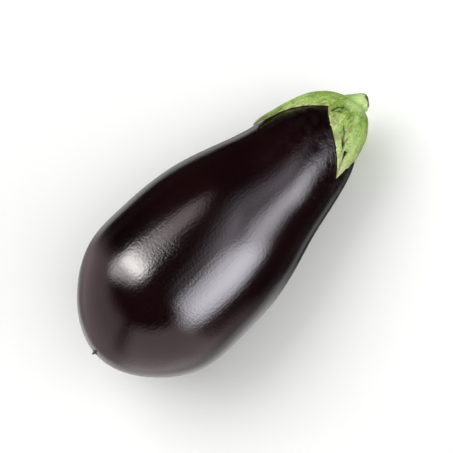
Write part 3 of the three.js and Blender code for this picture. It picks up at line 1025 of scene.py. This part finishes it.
class EGGPLANT_OT_calyx(bpy.types.Operator):
    """Wrap a fine grid over the neck as a closed fleshy cap with four sepals, ribs, grooves and splits"""

    bl_idname = "eggplant.calyx"
    bl_label = "Calyx"

    def execute(self, context):
        self.outline = Outline(context.scene.eggplant_fruit)
        self.sizes = context.scene.eggplant_calyx
        columns = self.columns()
        rows = OUTER_ROWS + RIM_ROWS + INNER_ROWS
        bpy.ops.object.select_all(action="DESELECT")
        bpy.ops.mesh.primitive_grid_add(x_subdivisions=len(columns), y_subdivisions=rows, size=1)
        calyx = context.object
        calyx.name = calyx.data.name = "eggplant_calyx"
        self.wrap(calyx, columns, rows)
        close_up(calyx)
        self.cover_crown(calyx)
        for split in SPLITS:
            self.cut(calyx, split)
        lay_down(calyx)
        finish_piece(calyx, "calyx", calyx_material(), smooth_angle=75)
        return {"FINISHED"}

    def columns(self):
        """Every column of the cap, round the fruit from the first notch."""
        made = []
        for index, sepal in enumerate(SEPALS):
            following = SEPALS[(index + 1) % len(SEPALS)]
            next_notch = following.notch
            if index == len(SEPALS) - 1:
                next_notch = (next_notch[0] + FULL_TURN, next_notch[1])
            rising = (sepal.notch, *sepal.first, sepal.tip)
            falling = (sepal.tip, *sepal.second, next_notch)
            made += self.side(index, rising, 0, (sepal.notch[0], sepal.base_turn))
            made += self.side(index, falling, 1, (sepal.base_turn, next_notch[0]))
        return made

    def side(self, index, corners, which, base_turns):
        """The columns of one side of a sepal, from a notch to its tip or from its tip to a notch."""
        sepal = SEPALS[index]
        count = sepal.columns[which]
        teeth = [tooth for tooth in TEETH if (tooth.sepal, tooth.side) == (index, which)]
        for step in range(count):
            along = step / count
            to_tip = along if which == 0 else 1 - along
            turn, reach = bezier_point(corners, along)
            ahead_turn, ahead_reach = bezier_point(corners, along + LOOK_AHEAD)
            run = Vector((math.radians(ahead_turn - turn) * NECK_GIRTH_RADIUS, ahead_reach - reach))
            outward = Vector((-run.y, run.x)).normalized()
            push = self.raggedness(turn, reach) * sepal.ragged[which]
            for tooth in teeth:
                off = (along - tooth.along) / tooth.width
                push += tooth.height * math.exp(-off * off)
            push *= smoothstep(0.0, CALM_ENDS[0], along) * smoothstep(1.0, CALM_ENDS[1], along)
            yield Column(
                base_turn=lerp(*base_turns, along),
                edge_turn=turn + math.degrees(outward.x * push / NECK_GIRTH_RADIUS),
                edge_reach=reach + outward.y * push,
                tip_reach=sepal.tip[1],
                lift=sepal.lift * math.sin(0.5 * math.pi * to_tip),
                curl=sepal.curl * to_tip**CURL_POWER,
            )

    def raggedness(self, turn, reach):
        """How far a sepal's edge strays at a place."""
        spot = spoke(turn) * NECK_GIRTH_RADIUS + Vector((reach, 0, 0))
        waves = sum(amount * noise.noise(spot / wave) for amount, wave in EDGE_STRAYS)
        return waves * self.sizes.raggedness

    def wrap(self, piece, columns, rows):
        """Moves the grid's vertices over the neck, and stores what the material needs to know of each."""
        ring = (*columns, columns[0])
        spots = [self.spot(column, row) for row in range(rows + 1) for column in ring]
        for vertex, spot in zip(piece.data.vertices, spots):
            vertex.co = spot.place
        store(piece, "sepal", [spot.sepal for spot in spots])
        store(piece, "marks", [spot.marks for spot in spots], "FLOAT_COLOR")
        store(piece, "ends", [spot.ends for spot in spots])

    def spot(self, column, row):
        """Where a column meets a row, on the outer face, round the rim or on the face inside."""
        part, tip_over = self.row_place(column, row)
        turn = lerp(column.base_turn, column.edge_turn, part**COLUMN_PULL)
        reach = column.edge_reach * part
        under, thick = self.flesh(column, reach, part)
        sunk, dark = self.grooved(turn, reach)
        if tip_over is None:
            thick += self.climb(turn, reach)
            relief = self.relief(column, turn, reach, part)
            height = under + thick + relief - min(sunk, DEEPEST_SHARE * thick)
        else:
            half = thick / 2
            height = under + half + half * math.cos(tip_over)
            reach += half * math.sin(tip_over)
        round_crown = spoke(column.base_turn) * NECK_GIRTH_RADIUS
        from_edge = column.edge_reach * (1 - part)
        worn = strongest(turn, reach, WORN_PLACES)
        corky = max(nearness(turn, reach, scab) for scab in SCABS)
        at_stem = strongest(turn, reach, STEM_GREEN_AND_PAINTED_LIGHT)
        faded = strongest(turn, reach, FADED)
        return Spot(
            place=self.outline.over_skin(turn, reach, height),
            sepal=(reach, round_crown.y, round_crown.z),
            marks=(from_edge, dark, worn, corky),
            ends=(reach / column.tip_reach, at_stem, faded),
        )

    def row_place(self, column, row):
        """How far out along its column a row lies, from 0 to 1, and how far round the rim it has tipped."""
        start = CROWN_DISC / column.edge_reach
        if row <= OUTER_ROWS:
            return lerp(start, 1, row / OUTER_ROWS), None
        if row <= OUTER_ROWS + RIM_ROWS:
            return 1.0, math.pi * (row - OUTER_ROWS) / RIM_ROWS
        return lerp(1, start, (row - OUTER_ROWS - RIM_ROWS) / INNER_ROWS), math.pi

    def flesh(self, column, reach, part):
        """How high the underside lies over the skin, and how thick the flesh on it is."""
        sizes = self.sizes
        curled = column.curl * smoothstep(CURL_START, 1.0, part)
        under = sizes.gap + column.lift * math.sin(math.pi * part) + curled
        crown_flesh = sizes.crown_station - self.outline.points[0].x - sizes.gap
        sepal_flesh = lerp(sizes.thickness, sizes.edge_thickness, part)
        return under, lerp(crown_flesh, sepal_flesh, smoothstep(0, sizes.shoulder_reach, reach))

    def climb(self, turn, reach):
        """How far the flesh has climbed toward the stem."""
        near = (0.5 + 0.5 * math.cos(math.radians(turn - CLIMB_TURN))) ** 2
        return near * self.sizes.fillet_height * (1 - smoothstep(CLIMB_TOP, self.sizes.fillet_reach, reach))

    def relief(self, column, turn, reach, part):
        """Ribs and soft lumps on the outer face. They fade out at the crown and at the edge."""
        angle = math.radians(column.base_turn)
        ring = Vector((math.cos(angle), math.sin(angle), 0))
        spot = Vector((reach, 0, 0)) + spoke(turn) * NECK_GIRTH_RADIUS
        height = 0.0
        for rib in RIBS:
            off = (column.base_turn - rib.turn) / rib.width
            height += rib.height * math.exp(-off * off) * math.sin(math.pi * part**RIB_POWER)
        for lump, round_it, along_it in BROAD_LUMPS:
            height += lump * noise.noise(ring * round_it + Vector((0, 0, part * along_it)))
        for fold in FOLDS:
            height += fold.height * nearness(turn, reach, fold)
        for lump, width in SMALL_LUMPS:
            height += lump * noise.noise(spot / width)
        return height * smoothstep(0.0, RELIEF_START, part) * (1 - part**RELIEF_END_POWER)

    def grooved(self, turn, reach):
        """How deep a place is sunk by the grooves, and how dark it is: dead tissue, and painted shade round
        them.
        """
        sunk = dark = 0.0
        for groove in GROOVES:
            turns = [point[0] for point in groove.points]
            reaches = [point[1] for point in groove.points]
            margin = 2 * HALO * groove.half_width
            turn_margin = math.degrees(margin / NECK_GIRTH_RADIUS)
            if not min(turns) - turn_margin < turn < max(turns) + turn_margin:
                continue
            if not min(reaches) - margin < reach < max(reaches) + margin:
                continue
            here = Vector((math.radians(turn) * NECK_GIRTH_RADIUS, reach))
            here += sum((far * wandering(here, wave) for far, wave in GROOVE_WANDERS), Vector((0, 0)))
            stray = noise.noise(here.to_3d() / WIDTH_STRAY_SIZE + Vector((0, 0, WIDTH_LAYER)))
            wide = groove.half_width * (1 + WIDTH_STRAY * stray)
            line = [Vector((math.radians(t) * NECK_GIRTH_RADIUS, r)) for t, r in groove.points]
            off = min(distance_to(here, start, end) for start, end in zip(line, line[1:])) / wide
            inside = 1 - min(off, 1.0)
            sunk = max(sunk, groove.depth * smoothstep(0.0, 1.0, inside))
            # The halo is painted shade in and beside the groove; the dead tissue lies inside it.
            halo = math.exp(-((off / HALO) ** 2))
            dark = max(dark, groove.darkness * (halo + smoothstep(*DEAD_SPREAD, inside)) / 2)
        return sunk, dark

    def cover_crown(self, piece):
        """Closes the small rounds left open in the middle of the crown, over and under."""
        with edit_mode(piece):
            bpy.ops.mesh.select_non_manifold()
            bpy.ops.mesh.fill_holes(sides=0)
            bpy.ops.mesh.select_all(action="SELECT")
            bpy.ops.mesh.normals_make_consistent(inside=False)

    def cut(self, piece, split):
        """Cuts a split with a three-sided wedge that passes right through the sepal."""
        middle = self.outline.over_skin(split.turn, split.reach, SPLIT_MIDDLE)
        _, heading = self.outline.at(split.reach)
        normal = (Vector((-heading.y, 0, 0)) + spoke(split.turn) * heading.x).normalized()
        toward_tip = -(Vector((heading.x, 0, 0)) + spoke(split.turn) * heading.y).normalized()
        across = toward_tip.cross(normal)
        bpy.ops.object.select_all(action="DESELECT")
        bpy.ops.mesh.primitive_cylinder_add(vertices=3, radius=1, depth=SPLIT_DEPTH)
        cutter = bpy.context.object
        lean = Matrix.Rotation(math.radians(split.lean), 3, "Z")
        turned = Matrix((across, toward_tip, normal)).transposed()
        for vertex in cutter.data.vertices:
            flat = lean @ Vector((vertex.co.x * split.width, vertex.co.y * split.length, vertex.co.z))
            vertex.co = middle + turned @ flat
        apply_modifier(piece, "BOOLEAN", operation="DIFFERENCE", object=cutter, solver="MANIFOLD")
        bpy.data.objects.remove(cutter)


# A short cut stub with shallow ribs that bends aside as it leaves the crown.
STEM_SIDES = 96
STEM_RINGS = 16
ROOT_FLARE = 1.12  # how much wider than its base radius the stub starts
ROOT_DEPTH = 0.0016  # how far under the crown it starts
TAPER_POWER = 2.2  # how soon the flare has narrowed
WALL_WAVE = 0.0002  # how far the wall swells in and out
WALL_WAVE_ANGLE = 9  # how many radians of that wave lie between the root and the cut
# The cut face is inset step by step, each time by so much, and raised or sunk by so much.
CUT_INSETS = (
    (0.00020, 0.00035),
    (0.00045, 0.00020),
    (0.0006, 0.0),
    (0.0008, -0.0004),
    (0.001, -0.0002),
    (0.001, 0.0001),
)
CUT_RIM_INSETS = 2  # how many of them make the rounded rim, outside the cut's own face
STEM_RIBS = 7
RIB_SEED = 7
WEAKEST_RIB = 0.5  # of the strongest
RIB_SWELL = (0.085, 0.05)  # of the radius, at the crown and at the cut
RIB_LEVEL = 0.35  # how far up a rib the radius is left as it is
# Fine unevenness of the wall, longer than it is wide.
BARK_HEIGHT = 0.00014
BARK_LENGTH = 0.003
BARK_WIDTH = 0.0014
STUB_CORE = 0.0002  # nearer than this to its axis, the stub is left as it is
WEAR_START = 0.3  # how far up the stub its worn corner starts
BEND_LIMIT = 1.15  # how many lengths of the stub the bend may run on for
DRY_RIM_START = 0.88  # how far up the stub the dry rim starts
FRESH_RIM = 0.8  # how much of that rim is still green on the side that the stub leans to
FRESH_SPREAD = (0.3, 0.8)  # between which shares of the radius that green sets in
ROOT_PALENESS = 0.35  # how pale the green is at the root, where the cut's is 1


class EGGPLANT_OT_stem(bpy.types.Operator):
    """Extrude the cut stub ring by ring from the crown, rib it and hollow its cut end a little"""

    bl_idname = "eggplant.stem"
    bl_label = "Stem"

    def execute(self, context):
        sizes = context.scene.eggplant_stem
        crown = context.scene.eggplant_calyx.crown_station
        stem = disc("eggplant_stem", STEM_SIDES, sizes.base_radius * ROOT_FLARE, crown - ROOT_DEPTH, 1)
        self.raise_rings(stem, sizes)
        self.dish_cut(stem)
        self.shape_ribs(stem, sizes, crown)
        self.mark(stem, sizes)
        self.wear_corner(stem, sizes, crown)
        self.bend(stem, sizes, crown)
        close_up(stem)
        lay_down(stem)
        finish_piece(stem, "stem", stem_material(), smooth_angle=50)
        return {"FINISHED"}

    def raise_rings(self, piece, sizes):
        """Extrudes the end face a ring at a time, narrowing it toward the cut."""
        step = (sizes.length + ROOT_DEPTH) / STEM_RINGS
        root = sizes.base_radius * ROOT_FLARE
        wide = root
        with edit_mode(piece, "FACE"):
            bpy.ops.mesh.select_all(action="SELECT")
            for ring in range(1, STEM_RINGS + 1):
                along = ring / STEM_RINGS
                radius = lerp(sizes.end_radius, root, (1 - along) ** TAPER_POWER)
                radius += WALL_WAVE * math.sin(WALL_WAVE_ANGLE * along)
                bpy.ops.mesh.extrude_region_move(TRANSFORM_OT_translate={"value": (step, 0, 0)})
                end = piece_end(piece)
                bpy.ops.transform.resize(value=(1, radius / wide, radius / wide), center_override=end)
                wide = radius

    def dish_cut(self, piece):
        """Rounds the cut's rim and sinks its middle with insets."""
        with edit_mode(piece, "FACE"):
            end = piece_end(piece)
            select_where(piece, lambda face: face.center.x > end.x - SAME_PLACE, "polygons")
            for inset, rise in CUT_INSETS:
                bpy.ops.mesh.inset(thickness=inset, depth=rise)
            bpy.ops.mesh.poke()

    def shape_ribs(self, piece, sizes, crown):
        """Draws ribs out of the round stub. They are strongest at the crown and uneven round it."""
        dice = random.Random(RIB_SEED)
        strengths = [dice.uniform(WEAKEST_RIB, 1.0) for _ in range(STEM_RIBS)]
        for vertex in piece.data.vertices:
            angle = math.atan2(vertex.co.z, vertex.co.y)
            phase = (angle / math.tau * STEM_RIBS) % STEM_RIBS
            rib = strengths[int(phase) % STEM_RIBS] * (0.5 - 0.5 * math.cos(math.tau * phase))
            up = min(max((vertex.co.x - crown) / sizes.length, 0), 1)
            swell = 1 + lerp(*RIB_SWELL, up) * (rib - RIB_LEVEL)
            grain = (vertex.co.x / BARK_LENGTH, vertex.co.y / BARK_WIDTH, vertex.co.z / BARK_WIDTH)
            rough = BARK_HEIGHT * noise.noise(Vector(grain))
            far = Vector((vertex.co.y, vertex.co.z)).length
            if far > STUB_CORE:
                vertex.co.y *= swell + rough / far
                vertex.co.z *= swell + rough / far

    def wear_corner(self, piece, sizes, crown):
        """Rounds the cut back on the side that the stub leans to."""
        for vertex in piece.data.vertices:
            up = (vertex.co.x - crown) / sizes.length
            worn = self.leaning_side(vertex, sizes) ** 2 * smoothstep(WEAR_START, 1.0, up)
            vertex.co.x -= sizes.corner_wear * worn

    def leaning_side(self, vertex, sizes):
        """0 at the stub's middle and beyond it, and 1 at the rim on the side that it leans to."""
        return max(vertex.co.dot(spoke(math.degrees(sizes.bend_turn))) / sizes.end_radius, 0.0)

    def bend(self, piece, sizes, crown):
        """Leans the stub aside along an arc that starts at the crown."""
        aside = spoke(math.degrees(sizes.bend_turn))
        forward = Vector((1, 0, 0))
        beside = forward.cross(aside)
        for vertex in piece.data.vertices:
            along = (vertex.co.x - crown) / sizes.length
            lean = sizes.bend * min(max(along, 0.0), BEND_LIMIT)
            heading = forward * math.cos(lean) + aside * math.sin(lean)
            across = aside * math.cos(lean) - forward * math.sin(lean)
            start = Vector((crown, 0, 0)) + heading * (vertex.co.x - crown)
            vertex.co = start + across * vertex.co.dot(aside) + beside * vertex.co.dot(beside)

    def mark(self, piece, sizes):
        """Stores how much of the cut face, its dry ring and its paleness each vertex has."""
        wall = STEM_SIDES * (STEM_RINGS + 1)
        face = wall + STEM_SIDES * CUT_RIM_INSETS
        marks = []
        for vertex in piece.data.vertices:
            up = min((vertex.index // STEM_SIDES) / STEM_RINGS, 1.0)
            on_cut = 1.0 if vertex.index >= face else 0.0
            on_rim = wall <= vertex.index < face + STEM_SIDES
            dry = 1.0 if on_rim else smoothstep(DRY_RIM_START, 1.0, up)
            dry *= 1 - FRESH_RIM * smoothstep(*FRESH_SPREAD, self.leaning_side(vertex, sizes))
            marks.append((on_cut, dry, lerp(ROOT_PALENESS, 1.0, up)))
        store(piece, "marks", marks)


# A low cracked pad with a short dry nib, a little off the fruit's axis.
SCAR_SIDES = 40
PAD_SEAT = 0.0003  # how far under the skin the pad starts
PAD_WALL = 0.0004  # how far it rises before its first inset
# The pad is inset step by step, by shares of its radius and of its height, and the last step ends at the nib.
PAD_INSETS = ((0.14, 0.7), (0.18, 0.3), (0.20, -0.4))
NIB_FOOT = 0.48  # of the pad's radius
NIB_FOOT_RISE = 0.4  # of the pad's height
NIB_STEPS = 4
NIB_TAPER = 0.10  # of the nib's radius, at each step
NIB_TOP_INSET = 0.25  # of the nib's radius
NIB_TOP_RISE = 0.1  # of the nib's radius
NIB_LEAN = 0.35  # how far the nib leans aside, as a share of its height
NIB_CORE = 0.00005  # nearer than this to its axis, the scar is left as it is
# Each stray breaks up the pad's edge: how much, its size as a share of the pad's radius, and the layer of the
# noise that it is read from.
PAD_STRAYS = ((0.16, 0.5, 0.0), (0.10, 0.16, 1.0))


class EGGPLANT_OT_blossom_scar(bpy.types.Operator):
    """Build the dry pad and its nib from a disc, and seat it on the blossom end"""

    bl_idname = "eggplant.blossom_scar"
    bl_label = "Blossom Scar"

    def execute(self, context):
        sizes = context.scene.eggplant_scar
        outline = Outline(context.scene.eggplant_fruit)
        scar = disc("eggplant_blossom_scar", SCAR_SIDES, sizes.pad_radius, PAD_SEAT, -1)
        self.build_up(scar, sizes)
        self.roughen(scar, sizes)
        self.seat(scar, sizes, outline)
        close_up(scar)
        lay_down(scar)
        finish_piece(scar, "blossom_scar", scar_material(), smooth_angle=40)
        return {"FINISHED"}

    def build_up(self, piece, sizes):
        """Extrudes the disc into a pad, then insets and extrudes its middle into the nib."""
        pad, nib = sizes.pad_radius, sizes.nib_radius
        nib_step = (sizes.nib_length - sizes.pad_height) / NIB_STEPS
        with edit_mode(piece, "FACE"):
            bpy.ops.mesh.select_all(action="SELECT")
            bpy.ops.mesh.extrude_region_move(TRANSFORM_OT_translate={"value": (-PAD_WALL, 0, 0)})
            for inset, rise in PAD_INSETS:
                bpy.ops.mesh.inset(thickness=pad * inset, depth=sizes.pad_height * rise)
            bpy.ops.mesh.inset(thickness=pad * NIB_FOOT - nib, depth=sizes.pad_height * NIB_FOOT_RISE)
            for _ in range(NIB_STEPS):
                bpy.ops.mesh.inset(thickness=nib * NIB_TAPER, depth=nib_step)
            bpy.ops.mesh.inset(thickness=nib * NIB_TOP_INSET, depth=nib * NIB_TOP_RISE)
            bpy.ops.mesh.poke()

    def roughen(self, piece, sizes):
        """Breaks up the pad's round edge and leans the nib."""
        for vertex in piece.data.vertices:
            across = Vector((vertex.co.y, vertex.co.z))
            if across.length > NIB_CORE:
                stray = 1.0
                for amount, width, layer in PAD_STRAYS:
                    spot = Vector((*across, layer)) / (width * sizes.pad_radius)
                    stray += amount * noise.noise(spot)
                vertex.co.y *= stray
                vertex.co.z *= stray
            height = max(-vertex.co.x - sizes.pad_height, 0.0)
            vertex.co.z += NIB_LEAN * height

    def seat(self, piece, sizes, outline):
        """Swings the scar from the axis out over the skin."""
        point, _ = outline.at(outline.reaches[-1] - sizes.offset)
        tip = outline.points[-1].x
        rise = point.x - tip
        end_radius = (rise * rise + point.y * point.y) / (2 * rise)
        swing = math.asin(sizes.offset / end_radius)
        aside = spoke(math.degrees(sizes.turn))
        axis = Vector((-1, 0, 0)).cross(aside)
        pivot = Vector((tip + end_radius, 0, 0))
        turned = Matrix.Rotation(swing, 3, axis)
        for vertex in piece.data.vertices:
            bowed = vertex.co.copy()
            bowed.x += (bowed.y**2 + bowed.z**2) / (2 * end_radius)
            vertex.co = pivot + turned @ (bowed - Vector((end_radius, 0, 0)))


# ---------------------------------------------------------------- studio

# Each glow is a soft patch of light that only reflections see: azimuth and elevation of its middle, half
# of its width and height, how soft its edge is, all in degrees, then its brightness and colour.
Glow = namedtuple("Glow", "azimuth elevation half_width half_height softness strength colour")
GLOWS = (
    Glow(95, 59, 7, 20, 6, 18.0, (1.00, 0.98, 0.95)),
    Glow(68, 55, 15, 10, 6, 3.0, (1.00, 0.84, 0.86)),
    Glow(114, 52, 10, 21, 8, 7.8, (1.00, 0.94, 0.93)),
    Glow(-75, 22, 14, 24, 7, 7.0, (0.95, 0.95, 1.04)),
    Glow(-41, 49, 24, 3, 22, 5.0, (0.97, 0.90, 1.00)),
    Glow(-67, 20, 31, 13, 12, 8.0, (0.96, 0.94, 1.02)),
    Glow(144, 0, 40, 30, 10, 0.9, (1.16, 0.89, 0.92)),
    Glow(-133, -11, 36, 36, 8, 1.25, (1.12, 0.91, 0.94)),
    Glow(146, -44, 42, 8, 6, 0.42, (1.05, 0.97, 0.98)),
    Glow(-105, -76, 34, 8, 5, 0.22, (1.00, 1.00, 1.00)),
    Glow(-60, -71, 8, 4, 5, 0.25, (1.00, 1.00, 1.00)),
    Glow(84, -43, 13, 11, 6, 0.65, (1.00, 1.00, 0.98)),
    Glow(186, -67, 37, 23, 5, 0.75, (1.03, 0.98, 0.99)),
)
# Each lamp's azimuth and elevation in degrees, its distance and width, and the setting that holds its power.
Lamp = namedtuple("Lamp", "name azimuth elevation distance width power")
LAMPS = (
    Lamp("key_lamp", 95, 58, 1.6, 1.5, "key_power"),
    Lamp("fill_lamp", -65, 42, 1.8, 1.8, "fill_power"),
    Lamp("overhead_lamp", 0, 90, 2.2, 4.0, "overhead_power"),
)
REFLECTED_DARK = 0.002
SKY_PALE = 0.93
FLOOR_SIZE = 24
# Between these distances the floor takes on the sky's own paleness, so that no dark horizon shows.
FLOOR_FADE_START = 0.45
FLOOR_FADE_END = 1.5
NEAREST_SEEN = 0.01  # the camera leaves out what is nearer


def grey(level):
    return (level, level, level, 1.0)


def glow_group(name):
    """A soft-edged patch on the sphere of directions."""
    inputs = {
        "Direction": VECTOR,
        "Azimuth": NUMBER,
        "Elevation": NUMBER,
        "Half Width": NUMBER,
        "Half Height": NUMBER,
        "Softness": NUMBER,
    }
    tree, given, made = new_group(name, inputs, {"Mask": NUMBER})
    back = maths(tree, "MULTIPLY", given["Azimuth"], -1.0)
    swung = add_node(
        tree, "ShaderNodeVectorRotate", {"Vector": given["Direction"], "Angle": back}, rotation_type="Z_AXIS"
    ).outputs[0]
    level = add_node(
        tree, "ShaderNodeVectorRotate", {"Vector": swung, "Angle": given["Elevation"]}, rotation_type="Y_AXIS"
    ).outputs[0]
    x, y, z = separate(tree, level)
    across = maths(tree, "ABSOLUTE", maths(tree, "ARCTAN2", y, x))
    upward = maths(tree, "ABSOLUTE", maths(tree, "ARCSINE", z))
    masks = []
    for off, half in ((across, given["Half Width"]), (upward, given["Half Height"])):
        outside = maths(tree, "ADD", half, given["Softness"])
        inside = maths(tree, "SUBTRACT", half, given["Softness"])
        masks.append(remap(tree, off, outside, inside))
    tree.links.new(maths(tree, "MULTIPLY", *masks), made["Mask"])
    return tree


def glow_mask(tree, direction, glow):
    angles = {
        "Azimuth": glow.azimuth,
        "Elevation": glow.elevation,
        "Half Width": glow.half_width,
        "Half Height": glow.half_height,
        "Softness": glow.softness,
    }
    inputs = {name: math.radians(angle) for name, angle in angles.items()}
    return use_group(tree, "Glow", glow_group, {"Direction": direction, **inputs})


class EGGPLANT_OT_studio(bpy.types.Operator):
    """Lay a plain pale floor, hang soft lamps, paint what the gloss reflects and set the camera"""

    bl_idname = "eggplant.studio"
    bl_label = "Studio"

    def execute(self, context):
        settings = context.scene.eggplant_studio
        self.floor(settings)
        self.lamps(settings)
        self.surroundings(context.scene)
        self.camera(context.scene, settings)
        context.scene.view_settings.view_transform = "Standard"
        return {"FINISHED"}

    def floor(self, settings):
        bpy.ops.object.select_all(action="DESELECT")
        bpy.ops.mesh.primitive_plane_add(size=FLOOR_SIZE, location=(0, 0, 0))
        floor = bpy.context.object
        floor.name = floor.data.name = "studio_floor"
        material, tree, shader = new_material("Pale Floor")
        place = add_node(tree, "ShaderNodeTexCoord").outputs["Object"]
        away = add_node(tree, "ShaderNodeVectorMath", {0: place}, operation="LENGTH").outputs["Value"]
        far = remap(tree, away, FLOOR_FADE_START, FLOOR_FADE_END)
        near_colour = blend(tree, far, tuple(settings.floor), grey(0.0))
        far_glow = blend(tree, far, grey(0.0), grey(SKY_PALE))
        tree.links.new(near_colour, shader.inputs["Base Color"])
        tree.links.new(far_glow, shader.inputs["Emission Color"])
        shader.inputs["Emission Strength"].default_value = 1.0
        shader.inputs["Roughness"].default_value = 0.9
        shader.inputs["Specular IOR Level"].default_value = 0.0
        floor.data.materials.append(material)
        floor.visible_glossy = False

    def lamps(self, settings):
        """Lamps for matt surfaces and shadows. The gloss reflects the painted surroundings instead."""
        for each in LAMPS:
            azimuth, elevation = math.radians(each.azimuth), math.radians(each.elevation)
            level = Vector((math.cos(azimuth), math.sin(azimuth), 0))
            heading = level * math.cos(elevation) + Vector((0, 0, math.sin(elevation)))
            turned = heading.to_track_quat("Z", "Y").to_euler()
            bpy.ops.object.light_add(type="AREA", location=heading * each.distance, rotation=turned)
            lamp = bpy.context.object
            lamp.name = each.name
            lamp.data.size = each.width
            lamp.data.energy = getattr(settings, each.power)
            lamp.visible_glossy = False
            lamp.visible_camera = False

    def surroundings(self, scene):
        """A world that is plain and pale to the camera, and soft boxes in the dark to the gloss."""
        world = bpy.data.worlds.new("Studio Surroundings")
        world.use_nodes = True
        scene.world = world
        world.cycles_visibility.diffuse = False
        tree = world.node_tree
        backdrop = next(node for node in tree.nodes if node.type == "BACKGROUND")
        direction = add_node(tree, "ShaderNodeTexCoord").outputs["Generated"]
        total = grey(REFLECTED_DARK)
        for glow in GLOWS:
            light = [value * glow.strength for value in glow.colour]
            patch = blend(tree, glow_mask(tree, direction, glow), grey(0.0), (*light, 1.0))
            total = blend(tree, 1.0, total, patch, "ADD")
        seen = add_node(tree, "ShaderNodeLightPath").outputs["Is Camera Ray"]
        colour = blend(tree, seen, total, grey(SKY_PALE))
        tree.links.new(colour, backdrop.inputs["Color"])

    def camera(self, scene, settings):
        azimuth, elevation, roll = settings.azimuth, settings.elevation, settings.roll
        level = Vector((math.cos(azimuth), math.sin(azimuth), 0))
        toward_camera = Vector((math.sin(azimuth), -math.cos(azimuth), 0))
        back = toward_camera * math.cos(elevation) + Vector((0, 0, math.sin(elevation)))
        upright = back.cross(level)
        right = level * math.cos(roll) - upright * math.sin(roll)
        up = level * math.sin(roll) + upright * math.cos(roll)
        turned = Matrix((right, up, back)).transposed()
        place = Vector(settings.aim) + back * settings.distance
        bpy.ops.object.camera_add(location=place, rotation=turned.to_euler())
        camera = bpy.context.object
        camera.name = "studio_camera"
        camera.data.lens = settings.lens
        camera.data.clip_start = NEAREST_SEEN
        scene.camera = camera


class EGGPLANT_PT_panel(bpy.types.Panel):
    """The eggplant's pieces and settings"""

    bl_label = "Eggplant"
    bl_space_type = "VIEW_3D"
    bl_region_type = "UI"
    bl_category = "Eggplant"

    def draw(self, context):
        scene = context.scene
        for operator in OPERATORS:
            self.layout.operator(operator.bl_idname)
        for name in SETTINGS:
            group = getattr(scene, name)
            box = self.layout.box()
            box.label(text=group.bl_rna.description)
            for prop in group.__annotations__:
                box.prop(group, prop)


OPERATORS = (
    EGGPLANT_OT_studio,
    EGGPLANT_OT_fruit,
    EGGPLANT_OT_calyx,
    EGGPLANT_OT_stem,
    EGGPLANT_OT_blossom_scar,
)
SETTINGS = {
    "eggplant_fruit": FruitSizes,
    "eggplant_calyx": CalyxSizes,
    "eggplant_stem": StemSizes,
    "eggplant_scar": ScarSizes,
    "eggplant_finish": Finishes,
    "eggplant_studio": StudioSettings,
}


def register():
    for cls in (*SETTINGS.values(), *OPERATORS, EGGPLANT_PT_panel):
        bpy.utils.register_class(cls)
    for name, cls in SETTINGS.items():
        setattr(bpy.types.Scene, name, bpy.props.PointerProperty(type=cls))


def unregister():
    for name in SETTINGS:
        delattr(bpy.types.Scene, name)
    for cls in reversed((*SETTINGS.values(), *OPERATORS, EGGPLANT_PT_panel)):
        bpy.utils.unregister_class(cls)


def main():
    register()
    bpy.ops.eggplant.studio()
    bpy.ops.eggplant.fruit()
    bpy.ops.eggplant.calyx()
    bpy.ops.eggplant.stem()
    bpy.ops.eggplant.blossom_scar()


if __name__ == "__main__":
    main()
